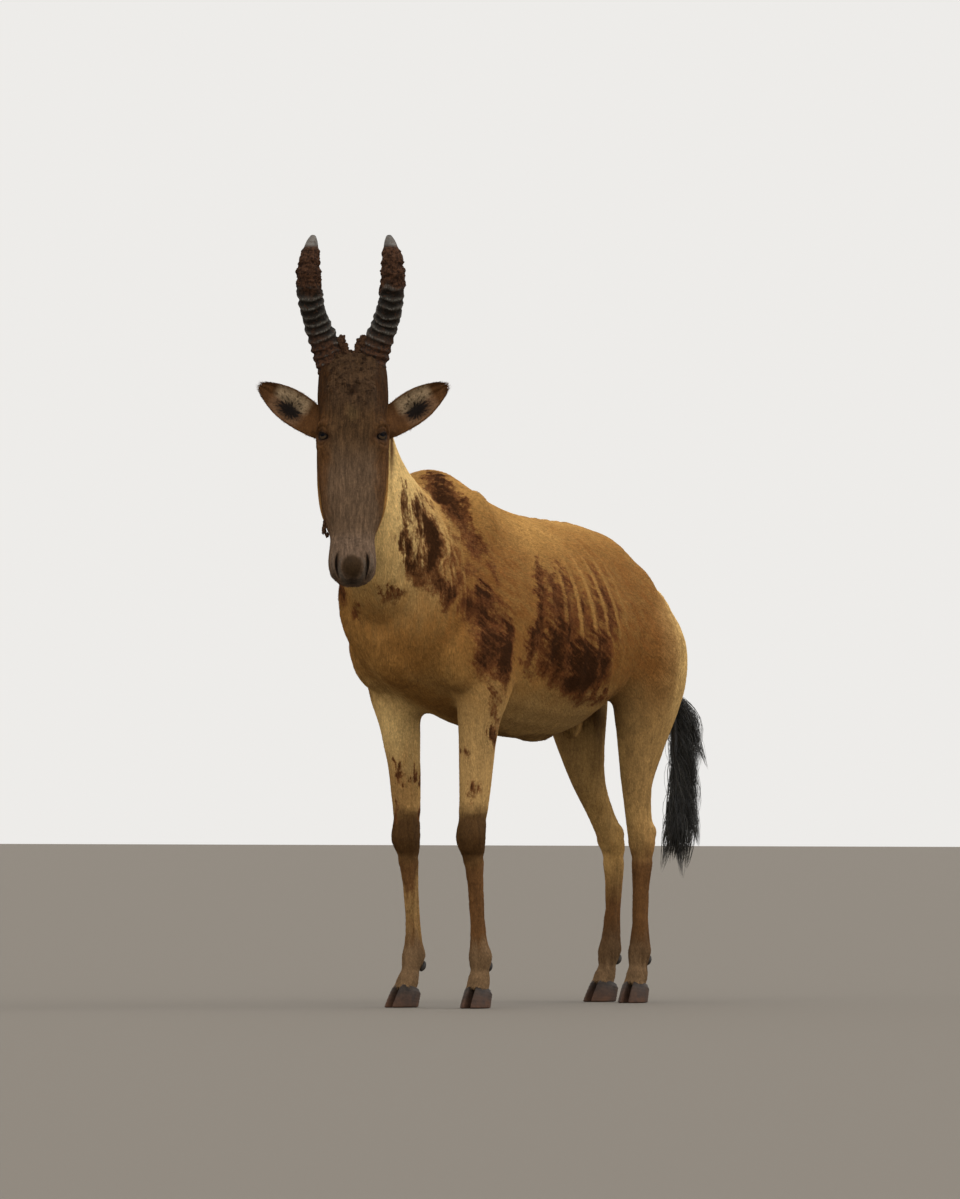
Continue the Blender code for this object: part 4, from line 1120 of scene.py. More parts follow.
def build_eye(name, side, finish):
    """An eyeball with the bulge of its cornea, turned to its look."""
    look = (FACE_LEFT * (side * EYE_GAZE[0]) + FACE_OUT * EYE_GAZE[1]).normalized()
    up = (UP - look * look.dot(UP)).normalized()
    shape = bmesh.new()
    bmesh.ops.create_uvsphere(shape, u_segments=64, v_segments=48, radius=EYE_RADIUS)
    for vert in shape.verts:
        angle = math.degrees(math.acos(max(-1, min(1, vert.co.z / EYE_RADIUS))))
        vert.co *= 1 + 0.055 * max(0.0, 1 - (angle / 36) ** 2)
    eye = from_shape(name, shape, finish)
    turned = Matrix((up.cross(look), up, look)).transposed().to_4x4()
    eye.matrix_world = Matrix.Translation(eye_middle(side) + SHIFT) @ turned
    return eye


# A horn's middle line: how far to the side, along the gaze and up, and the horn's radius there
HORN = (
    (0.036, -0.106, 1.468, 0.034),
    (0.044, -0.112, 1.500, 0.0365),
    (0.059, -0.114, 1.545, 0.034),
    (0.079, -0.098, 1.595, 0.031),
    (0.092, -0.062, 1.642, 0.029),
    (0.097, -0.034, 1.690, 0.027),
    (0.096, -0.036, 1.737, 0.023),
    (0.091, -0.064, 1.776, 0.016),
    (0.088, -0.086, 1.795, 0.008),
)
HORN_RINGS = 16
HORN_MIDDLE = Vector((0.087, -0.949, 0))
MUD_ON_HORN = (1.672, 1.768)  # heights between which mud cakes the horn
MUD_AT_ROOT = 1.550


def horn_material():
    paint = Paint("horn_ringed")
    _, _, z = paint.parts(paint.place)
    broad = paint.noise(26.0, 4.0, 0.6)
    fine = paint.noise(150.0, 4.0, 0.65)
    lines = paint.noise(330.0, 3.0, 0.6, stretch=(1, 1, 0.12))
    colour = paint.mix(paint.ramp(broad, 0.3, 0.7), HORN_DARK, HORN_GREY)
    crest = paint.layer("ring")
    # Painted shade in the grooves between the rings
    colour = paint.mix(paint.ramp(crest, 0.10, 0.80), HORN_GROOVE_SHADE, colour)
    # Painted highlight on the ring crests, broken up along fine lines
    crest_highlight = paint.ramp(crest, 0.70, 1.0) * paint.ramp(lines, 0.40, 0.62)
    colour = paint.mix(crest_highlight * 0.85, colour, HORN_CREST_HIGHLIGHT)
    low, high = MUD_ON_HORN
    tip = paint.mix(paint.ramp(broad, 0.35, 0.60), TIP_DARK, TIP_GREY)
    colour = paint.mix(paint.ramp(z, high - 0.006, high + 0.010), colour, tip)

    # Mud below the tip, at the root and in specks between
    wavy = z + (broad - 0.5) * 0.09
    caked = paint.ramp(wavy, low - 0.02, low + 0.012) * paint.ramp(z, high + 0.010, high)
    root = paint.ramp(wavy, MUD_AT_ROOT + 0.03, MUD_AT_ROOT - 0.02) * paint.ramp(fine, 0.30, 0.50)
    mud = paint.larger(paint.larger(caked, root), paint.ramp(fine, 0.54, 0.66) * 0.65)
    mud_colour = paint.mix(paint.ramp(fine, 0.38, 0.62), CAKED_DARK, CAKED_BROWN)
    colour = paint.mix(mud, colour, mud_colour)
    return paint.finished(colour, paint.blend(mud, 0.62, 0.95), 0.10, fine + lines * 0.6, (0.7, 0.0022))


def build_horn(name, side, finish):
    """A ringed horn. Mud lies on it in lumps, low down and below the smooth tip."""
    steps, sides = 34, 64
    rows = smooth_rows(HORN, steps)
    base = HORN_MIDDLE + SHIFT
    middle = [base + FACE_LEFT * (row[0] * side) + GAZE * row[1] + UP * row[2] for row in rows]
    length = np.concatenate([[0], np.cumsum([(b - a).length for a, b in zip(middle, middle[1:])])])
    share = length / length[-1]
    points, ring = [], []
    for k, centre in enumerate(middle):
        axis = (middle[min(k + 1, len(rows) - 1)] - middle[max(k - 1, 0)]).normalized()
        across = axis.cross(GAZE).normalized()
        forward = across.cross(axis).normalized()
        fade = float(ramp(share[k], 0.90, 0.80) * ramp(share[k], 0.02, 0.10))
        height = rows[k][2]
        for angle in np.linspace(0, 2 * math.pi, sides, endpoint=False):
            outward = across * math.cos(angle) + forward * math.sin(angle)
            wobble_place = Vector((math.cos(angle) * 1.5, math.sin(angle) * 1.5, height * 26 + side * 31))
            wobble = noise.noise(wobble_place)
            strength = 0.75 + 0.9 * noise.noise(Vector((side * 7, 0, height * 22)) + Vector((0, 0, 40)))
            phase = 2 * math.pi * HORN_RINGS * share[k] ** 0.90 + 0.45 * math.sin(angle) + wobble * 1.5
            crest = (0.5 + 0.5 * math.cos(phase)) ** 1.3
            swell = 0.935 + 0.125 * crest * fade * strength * (1.0 + 0.30 * math.sin(angle))
            rough = noise.fractal(outward * 2.4 + Vector((0, 0, height * 75)), 0.7, 2.0, 3) * 0.0016 * fade
            place = centre + outward * (rows[k][3] * swell + rough)
            own_height = place.z - SHIFT.z
            ragged = own_height + 0.022 * noise.noise(place * 24)
            caked = ramp(ragged, MUD_ON_HORN[0] - 0.014, MUD_ON_HORN[0] + 0.010)
            caked = caked * ramp(own_height, MUD_ON_HORN[1] + 0.004, MUD_ON_HORN[1] - 0.008)
            caked = max(caked, 0.6 * ramp(ragged, MUD_AT_ROOT + 0.015, MUD_AT_ROOT - 0.02))
            lump = noise.fractal(place * 78, 0.65, 2.0, 5) * 0.75 + 0.42
            place += outward * (0.0052 * float(caked) * max(lump, 0.0))
            points.append(tuple(place))
            ring.append(crest * fade + 0.6 * (1 - fade))
    horn = new_piece(name, points, ring_faces(len(middle), sides), finish)
    add_layer(horn, "ring", ring)
    return horn


# Clumps of dried mud: pixel, half width and half height in pixels, place along the gaze in metres
CLUMPS = (
    ((341.0, 343.5), (5.0, 8.0), -0.104),
    ((345.0, 348.0), (3.6, 6.0), -0.100),
    ((362.5, 343.5), (5.0, 8.0), -0.104),
    ((358.5, 348.0), (3.6, 6.0), -0.100),
    ((348.0, 354.0), (5.0, 4.0), -0.098),
    ((356.0, 354.0), (5.0, 4.0), -0.098),
    ((325.5, 524.0), (2.6, 4.4), 0.004),
    ((324.0, 530.0), (2.2, 4.0), 0.004),
    ((327.0, 535.0), (1.8, 2.6), 0.006),
)


def mud_material():
    paint = Paint("mud_dried")
    fine = paint.noise(170.0, 5.0, 0.7)
    colour = paint.mix(paint.ramp(fine, 0.36, 0.64), CLUMP_DARK, CLUMP_BROWN)
    return paint.finished(colour, 0.95, 0.12, fine, (0.8, 0.0025))


def build_clumps(finish):
    """Lumps of mud stuck on the crown, between the horns and on a cheek."""
    whole = bmesh.new()
    for number, (pixel, size, ahead) in enumerate(CLUMPS):
        depth = (FACE_ORIGIN + SHIFT + GAZE * ahead - VIEW_FOOT).dot(VIEW_BACK)
        middle = camera_place().lerp(photo_place(pixel), 1 - depth / VIEW_DISTANCE)
        wide, tall = size[0] / PIXELS_PER_METRE, size[1] / PIXELS_PER_METRE
        made = bmesh.ops.create_icosphere(whole, subdivisions=4, radius=1.0)
        for vert in made["verts"]:
            away = vert.co.copy()
            rough = 1 + 0.42 * noise.fractal(away * 1.7 + Vector((number * 9.1, 0, 0)), 0.6, 2.0, 5)
            own = VIEW_RIGHT * (away.x * wide) + UP * (away.z * tall) + VIEW_BACK * (away.y * wide * 0.7)
            vert.co = middle + own * rough
    return from_shape("mud_clumps", whole, finish)


def hoof_material():
    paint = Paint("hoof_worn")
    _, _, z = paint.parts(paint.place)
    broad = paint.noise(45.0, 4.0, 0.6)
    fine = paint.noise(300.0, 3.0, 0.6, stretch=(1, 1, 0.15))
    rings = paint.noise(260.0, 2.0, 0.5, stretch=(0.05, 0.05, 1.0))
    colour = paint.mix(paint.ramp(broad, 0.35, 0.65), HOOF_BLACK, HOOF_BROWN)
    dust = paint.ramp(z, 0.055, 0.0) * paint.ramp(broad, 0.3, 0.7, 0.4, 1.0)
    colour = paint.mix(dust * 0.8, colour, DUST)
    return paint.finished(colour, paint.blend(dust, 0.55, 0.90), 0.20, rings + fine * 0.5, (0.5, 0.0012))


def build_claw(name, foot, side, turn, finish):
    """One of a foot's two claws: flat below, its wall ringed, its toe rounded and turned in a little."""
    levels = np.concatenate([[0.0, 0.03], np.linspace(0.08, 1.0, 26)])
    sides = 48
    points = []
    for level in levels:
        shoulder = 1 - 0.14 * float(ramp(level, 0.78, 1.0)) - 0.10 * (level == 0.0)
        half_length = (0.046 - 0.014 * level) * shoulder
        half_width = (0.0168 - 0.0010 * level) * shoulder
        swell = 1 + 0.010 * math.cos(level * 40) * (0.05 < level < 0.8)
        forward = 0.016 - 0.026 * level
        for angle in np.linspace(0, 2 * math.pi, sides, endpoint=False):
            ahead = math.sin(angle)
            toe = max(ahead, 0.0)
            sideways = math.cos(angle)
            flat = 0.80 if sideways < 0 else 1.0
            across = side * sideways * flat * half_width * swell * (1 - 0.42 * toe**2)
            x = side * (half_width * 0.84 + 0.0014) + across - side * 0.30 * toe**2 * half_width
            y = -(forward + ahead * half_length * swell)
            place = Vector((
                foot[0] + x * math.cos(turn) - y * math.sin(turn),
                foot[1] + x * math.sin(turn) + y * math.cos(turn),
                0,
            ))
            ceiling = CORONET_HEIGHT + 0.008 - CORONET_SLOPE * (place.y - foot[1] + 0.030)
            place.z = level * max(ceiling, 0.020)
            points.append(tuple(place + SHIFT))
    return new_piece(name, points, ring_faces(len(levels), sides), finish)


def build_dewclaw(name, fetlock, half_depth, side, finish):
    shape = bmesh.new()
    bmesh.ops.create_uvsphere(shape, u_segments=24, v_segments=18, radius=1.0)
    lean = Matrix.Rotation(math.radians(-35), 3, "X")
    centre = Vector(fetlock) + Vector((0.013 * side, half_depth - 0.0145, -0.024)) + SHIFT
    for vert in shape.verts:
        taper = 1 - 0.30 * max(-vert.co.z, 0.0) ** 2
        ripple = 1 + 0.03 * math.cos(vert.co.z * 16)
        x, y = vert.co.x * 0.0080 * taper * ripple, vert.co.y * 0.0088 * taper * ripple
        vert.co = centre + lean @ Vector((x, y, vert.co.z * 0.0145))
    return from_shape(name, shape, finish)


def build_feet(finish):
    made = []
    for name, foot, fetlock, half_depth in FEET:
        outward = 1.0 if foot[0] > 0 else -1.0
        turn = math.radians(6) * outward
        for which, side in (("outer", outward), ("inner", -outward)):
            claw = build_claw(f"claw_{name}_{which}", foot, side, turn, finish)
            dewclaw = build_dewclaw(f"spur_{name}_{which}", fetlock, half_depth, side, finish)
            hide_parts(f"hoof_{name}_{which}")
            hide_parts(f"dewclaw_{name}_{which}")
            made += [claw, dewclaw]
    return made


# The tail's own flesh, from the rump down: x, y, z, radius
TAIL = (
    (0.000, 0.500, 1.000, 0.034),
    (0.006, 0.560, 0.965, 0.030),
    (0.022, 0.600, 0.900, 0.024),
    (0.044, 0.628, 0.810, 0.019),
    (0.057, 0.640, 0.700, 0.015),
    (0.060, 0.646, 0.560, 0.011),
    (0.060, 0.644, 0.440, 0.006),
)
TUFT_LOCKS = 76
STRANDS = 58
STRAND_STATIONS = 7
GOLDEN_ANGLE = math.radians(137.5)

# The coat's tufts
MAP_PATCH = 0.003  # how large each tuft or hair is on its map
# Painted shade along each tuft: darker over its root, lighter towards its tip
TUFT_SHADE = (1.00, 1.00, 1.18, 1.40)  # from the root's corners over the ridge to the tip
TRUNK_BANDS = (
    # name and where along the trunk the band starts and ends
    ("chest", -1.0, -0.46),
    ("shoulder", -0.46, -0.25),
    ("ribs", -0.25, -0.02),
    ("flank", -0.02, 0.22),
    ("rump", 0.22, 1.0),
)
COAT_SIZES = {
    # tufts a square metre, and the length, width and lift of a tuft
    "trunk": (118000, 0.0150, 0.0022, 0.0011),
    "neck": (130000, 0.0140, 0.0020, 0.0010),
    "head": (230000, 0.0062, 0.0012, 0.0005),
    "ear": (420000, 0.0070, 0.0011, 0.0006),
    "legs": (125000, 0.0090, 0.0017, 0.0008),
    "tail": (130000, 0.0130, 0.0018, 0.0012),
}

# The stage
FLOOR_REACH = 60
FLOOR_COLOUR = (0.13, 0.11, 0.085)
SKY_COLOUR = (1.0, 0.985, 0.96, 1.0)
SKY_STRENGTH = 0.85
LAMPS = (
    # where it shines from, how wide its light is in degrees, strength
    ((0.6, 0.6, 5.0), 60, 0.6),
    ((4.5, 2.4, 2.0), 60, 1.7),
    ((1.0, -3.6, 2.2), 75, 1.95),
)


def hairs(name, paths, widths, finish, shade):
    """Many three-sided hairs that taper to a point, as one mesh. paths is (hairs, stations, 3)."""
    count, stations, _ = paths.shape
    axis = unit(np.gradient(paths, axis=1))
    aside = unit(np.cross(axis, (0.3, 0.2, 0.93)))
    above = np.cross(aside, axis)
    corners = []
    for k in range(3):
        turn = 2 * math.pi * k / 3
        corners.append(paths + (aside * math.cos(turn) + above * math.sin(turn)) * widths[:, :, None])
    body = np.stack(corners, axis=2)[:, :-1]
    points = np.concatenate([body.reshape(count, -1, 3), paths[:, -1:]], axis=1)
    per = points.shape[1]
    faces = []
    for station in range(stations - 2):
        for k in range(3):
            a, b = station * 3 + k, station * 3 + (k + 1) % 3
            faces.append((a, b, b + 3, a + 3))
    ends = [((stations - 2) * 3 + k, (stations - 2) * 3 + (k + 1) % 3, per - 1) for k in range(3)]
    starts = (np.arange(count) * per)[:, None, None]
    quads = (np.array(faces)[None] + starts).reshape(-1, 4)
    tips = (np.array(ends)[None] + starts).reshape(-1, 3)
    made = new_piece(name, points.reshape(-1, 3), [*quads.tolist(), *tips.tolist()], finish)
    add_layer(made, "shade", np.repeat(shade, per))
    return made, per


def root_map(thing, per, roots):
    """The map OFBake: each tuft is a small patch at its root's place on the chart."""
    mesh = thing.data
    layer = mesh.uv_layers.new(name="OFBake")
    corners = np.empty(len(mesh.loops), np.int32)
    mesh.loops.foreach_get("vertex_index", corners)
    tuft, corner = corners // per, corners % per
    patch = np.stack([corner % 2 - 0.5, corner / (per - 1) - 0.5], axis=1) * MAP_PATCH
    layer.data.foreach_set("uv", (roots[tuft] + patch).astype(np.float32).ravel())


def tail_point(share):
    rows = smooth_rows(TAIL, 8)
    spot = share * (len(rows) - 1)
    low = min(int(spot), len(rows) - 2)
    return (rows[low] + (rows[low + 1] - rows[low]) * (spot - low))[:3]


def hair_material():
    paint = Paint("tail_hair")
    colour = paint.mix(paint.layer("shade"), HAIR_BLACK, HAIR_SHINE)
    return paint.finished(colour, 0.42, 0.45, paint.noise(500.0, 2.0), (0.15, 0.0008))


def build_tail_tuft(finish):
    """Long black hair in locks round the lower tail, which sweep out, hang and part at their tips."""
    draw = np.random.default_rng(7)
    paths, widths, shades, charts = [], [], [], []
    steps = np.linspace(0, 1, STRAND_STATIONS)
    for k in range(TUFT_LOCKS):
        share = 0.600 + 0.385 * k / (TUFT_LOCKS - 1)
        root = tail_point(share)
        turn = k * GOLDEN_ANGLE + draw.uniform(-0.35, 0.35)
        out = np.array((math.cos(turn), math.sin(turn), 0))
        rearward = 0.5 + 0.5 * out[1]
        upper = 1 - k / (TUFT_LOCKS - 1)
        blown = np.array((0.30, 0.30, 0.0)) * upper - np.array((0.10, 0.13, 0.0)) * (1 - upper)
        sweep = out * (0.22 + 0.38 * rearward) * (0.55 + 0.45 * upper)
        heading = sweep + np.array((0.04, 0.14, -0.50)) + blown
        heading /= np.linalg.norm(heading)
        length = 0.150 * (0.70 + 0.36 * rearward) + draw.uniform(-0.018, 0.018)
        curl = np.array((draw.uniform(-0.35, 0.35), draw.uniform(-0.35, 0.25), 0))
        guide = [root]
        for t in np.arange(STRAND_STATIONS - 1) / (STRAND_STATIONS - 2):
            axis = heading * (1 - t) + np.array((0, 0, -1)) * (0.15 + 0.95 * t) + curl * t**2
            guide.append(guide[-1] + axis / np.linalg.norm(axis) * length / (STRAND_STATIONS - 1))
        guide = np.array(guide)
        spread = draw.normal(0, 1, (STRANDS, 1, 3)) * np.array((1, 1, 0.8))
        open_up = (0.0042 + 0.0050 * np.sin(math.pi * steps**0.8) - 0.0030 * steps)[None, :, None]
        reach = draw.uniform(0.70, 1.06, (STRANDS, 1, 1))
        own = root + (guide - root)[None] * reach
        wave = draw.normal(0, 1, (STRANDS, 1, 3)) * np.sin(steps * 5 + draw.uniform(0, 6))[None, :, None]
        own = own + spread * open_up + wave * 0.0016 * steps[None, :, None]
        own[:, 0] = root + (own[:, 0] - root) * 0.6
        paths.append(own)
        thick = draw.uniform(0.00042, 0.00078, (STRANDS, 1))
        widths.append(thick * (1 - 0.65 * steps[None] ** 2))
        shades.append(draw.uniform(0, 1, STRANDS) ** 2)
        chart = np.array((turn / (2 * math.pi) % 1.0, share))
        charts.append(chart + draw.uniform(-0.006, 0.006, (STRANDS, 2)))
    paths = np.concatenate(paths) + np.array(SHIFT)
    tuft, per = hairs("tail_hair", paths, np.concatenate(widths), finish, np.concatenate(shades))
    root_map(tuft, per, np.clip(np.concatenate(charts), 0.01, 0.99))
    return tuft


def build_tail_core(finish):
    rows = smooth_rows(TAIL, 8)
    rows = rows[rows[:, 2] < 0.76]
    sides = 16
    points = []
    for x, y, z, radius in rows:
        for angle in np.linspace(0, 2 * math.pi, sides, endpoint=False):
            spot = Vector((x + radius * 0.9 * math.cos(angle), y + radius * 0.9 * math.sin(angle), z))
            points.append(tuple(spot + SHIFT))
    return new_piece("tail_core", points, ring_faces(len(rows), sides), finish)


def level_to(vectors, normals):
    """The vectors laid along the surface, as unit vectors."""
    return unit(vectors - normals * np.sum(vectors * normals, axis=1, keepdims=True))


def flow(points, normals):
    """The lie of the hair along the skin: a unit direction at each place."""
    _, y, z = points.T
    lie = np.array((0, 1.0, 0)) + np.array((0, 0, -1.0)) * (0.30 + 0.50 * ramp(z, 1.05, 0.75))[:, None]
    chest = ramp(-normals[:, 1], 0.3, 0.7) * ramp(z, 1.10, 1.00) * (y < -0.5)
    turns = (
        # how far backwards for each step down, and where
        (0.35, ramp(y, -0.50, -0.64) * ramp(z, 0.90, 1.00)),
        (0.0, chest),
        (0.40, ramp(y, 0.36, 0.50)),
        (0.15, ramp(z, 0.80, 0.68) * ramp(-normals[:, 2], 0.75, 0.45)),
    )
    for backward, share in turns:
        lie += (np.array((0, backward, -1.0)) - lie) * share[:, None]

    # From a whorl between the eyes the hair runs down the face, up to the horns and out to the cheeks
    down, left, out = face_places(points)
    face = np.outer(np.tanh((down + 0.058) / 0.020), np.array(FACE_DOWN))
    face += np.outer(np.tanh(left / 0.05) * 0.5, np.array(FACE_LEFT))
    face -= np.outer(ramp(out, -0.03, -0.08) * 0.9, np.array(FACE_OUT))
    lie += (face - lie) * ramp(in_head(points), -0.01, 0.03)[:, None]
    ear = is_ear(points)
    lining = inner_ear(points, normals)
    for _, side in SIDES:
        here = left * side > 0
        root, reach, _, across = ear_axes(side)
        lie[ear & here] = np.array(reach)
        middle = np.array(root + reach.normalized() * EAR_MIDDLE[0] + across * EAR_MIDDLE[1])
        lie += (unit(points - middle) - lie) * (lining * here)[:, None]
    return level_to(lie, normals)


def wrap(points, start, end, slot, slots):
    """A cylinder's chart: the turn about a line and the distance along it."""
    start, end = np.array(start), np.array(end)
    axis = (end - start) / np.linalg.norm(end - start)
    first = np.cross(axis, (0.0, 0.0, 1.0) if abs(axis[2]) < 0.8 else (0.0, 1.0, 0.0))
    first /= np.linalg.norm(first)
    second = np.cross(axis, first)
    away = points - start
    turn = np.arctan2(away @ second, away @ first) / (2 * math.pi) + 0.5
    along = (away @ axis) / np.linalg.norm(end - start)
    u = (slot + 0.02 + 0.96 * turn) / slots
    return np.stack([u, 0.02 + 0.96 * np.clip(along, 0, 1)], axis=1)


class Sampler:
    """Draws places on the skin, evenly by area."""

    def __init__(self, skin):
        mesh = skin.data
        mesh.calc_loop_triangles()
        corners = np.empty(len(mesh.loop_triangles) * 3, np.int32)
        mesh.loop_triangles.foreach_get("vertices", corners)
        self.corners = corners.reshape(-1, 3)
        self.points = on_animal(read(mesh.vertices, "co"))
        self.normals = read(mesh.vertices, "normal")
        a, b, c = (self.points[self.corners[:, k]] for k in range(3))
        self.area = 0.5 * np.linalg.norm(np.cross(b - a, c - a), axis=1)
        self.centres = (a + b + c) / 3
        self.facing = unit(np.cross(b - a, c - a))

    def take(self, chosen, per_metre, seed):
        """Places and normals, at a density that may change from face to face."""
        draw = np.random.default_rng(seed)
        weight = self.area * chosen * per_metre
        count = int(weight.sum())
        picked = draw.choice(len(weight), count, p=weight / weight.sum())
        one, two = draw.random(count), draw.random(count)
        flip = one + two > 1
        one[flip], two[flip] = 1 - one[flip], 1 - two[flip]
        shares = np.stack([1 - one - two, one, two], axis=1)[:, :, None]
        corners = self.corners[picked]
        return (self.points[corners] * shares).sum(1), unit((self.normals[corners] * shares).sum(1)), draw


def low_noise(points, scale, seed):
    """Smooth waves over space, from -1 to 1, for each of three axes."""
    draw = np.random.default_rng(seed)
    total = np.zeros((len(points), 3))
    for octave in range(4):
        axes = draw.normal(0, 1, (3, 3)) * scale * 1.7**octave
        total += np.sin(points @ axes + draw.uniform(0, 6, 3)) / 1.5**octave
    return total / 2.2


def tufts(name, places, normals, lengths, widths, lifts, draw, charts, finish):
    """Flat pointed tufts on the skin, each a ridge with a tip, closed but at its sunk root."""
    count = len(places)
    wander = low_noise(places, 28.0, 5) * 0.16 + draw.normal(0, 0.10, (count, 3))
    lie = level_to(flow(places, normals) + wander, normals)
    aside = np.cross(normals, lie)
    root = places - normals * 0.0006
    half = aside * (widths / 2)[:, None]
    ridge = root + normals * (0.0008 + lifts * 0.35)[:, None] + lie * (lengths * 0.12)[:, None]
    tip = places + lie * lengths[:, None] + normals * lifts[:, None]
    points = np.stack([root + half, root - half, ridge, tip], axis=1).reshape(-1, 3) + np.array(SHIFT)
    starts = (np.arange(count) * 4)[:, None, None]
    faces = (np.array(((0, 2, 3), (1, 3, 2), (0, 3, 1)))[None] + starts).reshape(-1, 3)
    made = new_piece(name, points, faces, finish)
    shade = np.clip(draw.normal(1.0, 0.13, count), 0.6, 1.4)
    # Painted shade: each tuft darker at its root and lighter at its tip, times a random tone per tuft
    add_layer(made, "shade", shade[:, None] * np.array(TUFT_SHADE)[None])
    add_layer(made, "inner", np.repeat(inner_ear(places, normals), 4))
    root_map(made, 4, charts)

    # The tufts take their light as the skin below them does, so that they don't show as spikes
    lean = normals[:, None, :] + np.stack([aside, -aside, np.zeros_like(aside), lie * 0.3], axis=1) * 0.35
    made.data.normals_split_custom_set_from_vertices(unit(lean.reshape(-1, 3)))
    return made


def mud_at(places, marks):
    """How muddy each place is, for the height of the tufts there."""
    total = np.zeros(len(places))
    for pixel, size, lean, strength in MARKS:
        spot = marks.find(pixel)
        away = places - np.array(spot)
        away[:, 0] = np.abs(places[:, 0]) - abs(spot.x)
        across = away @ np.array(VIEW_RIGHT)
        depth = away @ np.array(VIEW_BACK)
        slope, rise = math.sin(math.radians(lean)), math.cos(math.radians(lean))
        first = (across * rise - away[:, 2] * slope) / (size[0] / PIXELS_PER_METRE)
        second = (across * slope + away[:, 2] * rise) / (size[1] / PIXELS_PER_METRE)
        reach = np.sqrt(first**2 + second**2 + (depth / MARK_DEPTH) ** 2)
        total = np.maximum(total, strength * ramp(reach, 1.3, 0.7))
    return np.clip(total, 0, 1)


def coat_zones(sampler):
    """Each piece's name, its faces, the row of its sizes, and lines for its charts."""
    centres = sampler.centres
    x, y, z = centres.T
    head = in_head(centres) > 0
    ear = is_ear(centres)
    left = face_places(centres)[1]
    low = ((z < 0.715) & (y < -0.2)) | ((z < 0.74) & (y > 0.2))
    leg = ~head & low & (np.abs(x) > 0.036)
    tail = (y > 0.575) & (z > 0.70) & ~leg
    neck = ~head & ~ear & ~leg & ((centres - np.array((0, -0.56, 1.05))) @ np.array((0, -0.78, 0.62)) > 0)
    trunk = ~head & ~ear & ~leg & ~tail & ~neck
    for name, start, end in TRUNK_BANDS:
        line = ((0, max(start, -0.70), 0.92), (0, min(end, 0.62), 0.92))
        yield name, trunk & (y >= start) & (y < end), "trunk", (line,)
    yield "neck", neck, "neck", (((0, -0.50, 0.98), (0, -0.80, 1.42)),)
    face_line = (tuple(on_face(-0.22, 0, -0.09)), tuple(on_face(0.36, 0, -0.07)))
    yield "head", head & ~ear, "head", (face_line,)
    for name, side in SIDES:
        line = (tuple(on_face(-0.045, 0.05 * side, -0.10)), tuple(on_face(-0.165, 0.23 * side, -0.112)))
        yield f"ear_{name}", ear & (left * side > 0), "ear", (line,)
    for pair, front, middle in (("forelegs", True, -0.39), ("hindlegs", False, 0.44)):
        lines = tuple(((0.1 * side, middle, 0.0), (0.1 * side, middle, 0.76)) for _, side in SIDES)
        yield pair, leg & ((y < 0) == front), "legs", lines
    yield "tail", tail, "tail", (((0, 0.52, 1.0), (0.06, 0.64, 0.70)),)


def haired(places):
    """1 where hair grows, less where mud cakes the crown, and 0 on pad, nostrils and lids."""
    bare = np.zeros(len(places), bool)
    for _, side in SIDES:
        along, across, ahead = eye_places(places, side)
        bare |= (np.hypot(along / 0.0125, across / 0.019) < 1) & (ahead > 0)
    down, left, out = face_places(places)
    width = np.abs(left)
    pad = np.hypot(width / 0.026, (down - 0.320) / 0.030) < 1
    slit = np.hypot((width - nostril_bend(down)) / 0.007, (down - NOSTRIL_DOWN) / 0.024) < 1
    return ~((pad | slit) & (out > -0.08) | bare) * (1 - 0.75 * crust(places))


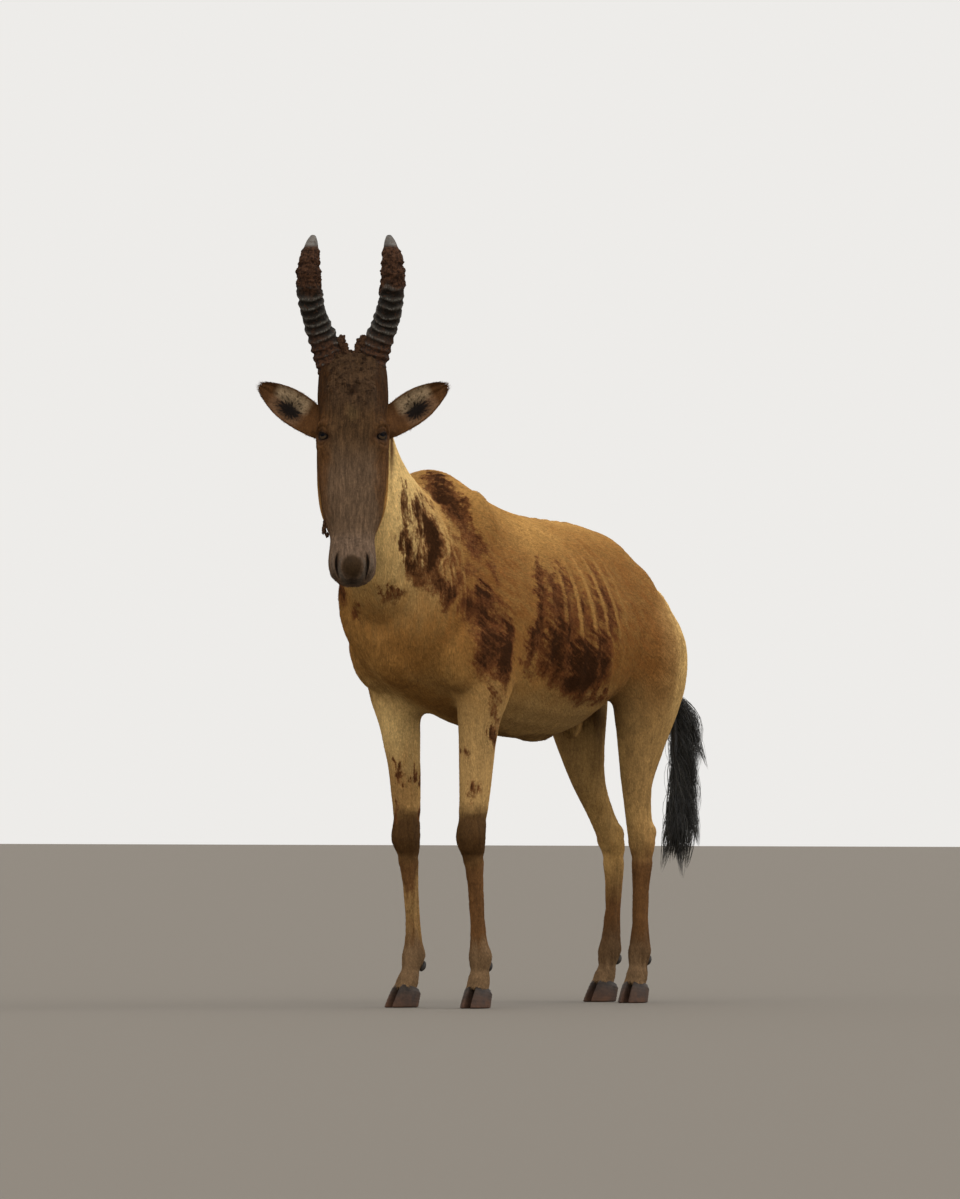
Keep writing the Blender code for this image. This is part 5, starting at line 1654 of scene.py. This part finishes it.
def build_coat(skin, marks, finish):
    """The coat in pieces, each with its own chart of the skin below it."""
    sampler = Sampler(skin)
    covered = haired(sampler.centres)
    sparse = 1.0
    made = []
    for number, (name, chosen, sizes, lines) in enumerate(coat_zones(sampler)):
        density, length, breadth, lift = COAT_SIZES[sizes]
        places, normals, draw = sampler.take(chosen * covered, density * sparse, 100 + number)
        count = len(places)
        muddy = mud_at(places, marks)
        patchy = 0.5 + 0.5 * low_noise(places, 120.0, 9)[:, 0]
        lengths = length * draw.uniform(0.75, 1.20, count) * (1 - 0.25 * muddy)
        widths = breadth * draw.uniform(0.75, 1.25, count) * (1 + 0.5 * muddy)
        lifts = lift * draw.uniform(0.5, 1.5, count) * (1 + 2.2 * muddy * patchy)
        lengths = lengths * (1 + inner_ear(places, normals))
        charts = wrap(places, *lines[0], 0, len(lines))
        if len(lines) == 2:
            charts = np.where((places[:, 0] > 0)[:, None], charts, wrap(places, *lines[1], 1, 2))
        made.append(tufts(f"coat_{name}", places, normals, lengths, widths, lifts, draw, charts, finish))
    return made


def make_stage():
    """A plain floor and soft light from all round."""
    reach = FLOOR_REACH
    corners = [(-reach, -reach, 0), (reach, -reach, 0), (reach, reach, 0), (-reach, reach, 0)]
    floor = new_piece("floor", corners, [(0, 1, 2, 3)], Paint("floor_pale").finished(FLOOR_COLOUR, 0.9, 0.5))
    floor.location.z = -0.0005
    world = bpy.data.worlds.new("soft")
    world.use_nodes = True
    sky = world.node_tree.nodes["Background"]
    sky.inputs["Color"].default_value = SKY_COLOUR
    sky.inputs["Strength"].default_value = SKY_STRENGTH
    bpy.context.scene.world = world
    for number, (place, spread, strength) in enumerate(LAMPS):
        data = bpy.data.lights.new(f"lamp_{number}", "SUN")
        data.angle = math.radians(spread)
        data.energy = strength
        lamp = linked(data.name, data)
        lamp.rotation_euler = Vector(place).to_track_quat("Z", "Y").to_euler()
    bpy.context.scene.view_settings.view_transform = "Standard"


make_camera()
make_stage()
skin = build_skin()
marks = Marks(skin)
skin.data.materials.append(coat_material("coat_skin", marks))
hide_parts(*FLESH, "ear_left", "ear_right")
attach(skin, "root")
for piece in build_coat(skin, marks, coat_material("coat_tufts", marks, tufts=True)):
    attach(piece, "root")
clumps = build_clumps(mud_material())
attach(clumps, "root")
eye_finish = eye_material()
horn_finish = horn_material()
for name, side in SIDES:
    eye = build_eye(f"eyeball_{name}", side, eye_finish)
    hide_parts(f"eye_{name}")
    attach(eye, "root")
    horn = build_horn(f"ringed_horn_{name}", side, horn_finish)
    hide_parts(f"horn_{name}")
    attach(horn, "root")
for piece in build_feet(hoof_material()):
    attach(piece, "root")
hair_finish = hair_material()
for piece in (build_tail_tuft(hair_finish), build_tail_core(hair_finish)):
    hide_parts("tail_tuft")
    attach(piece, "root")
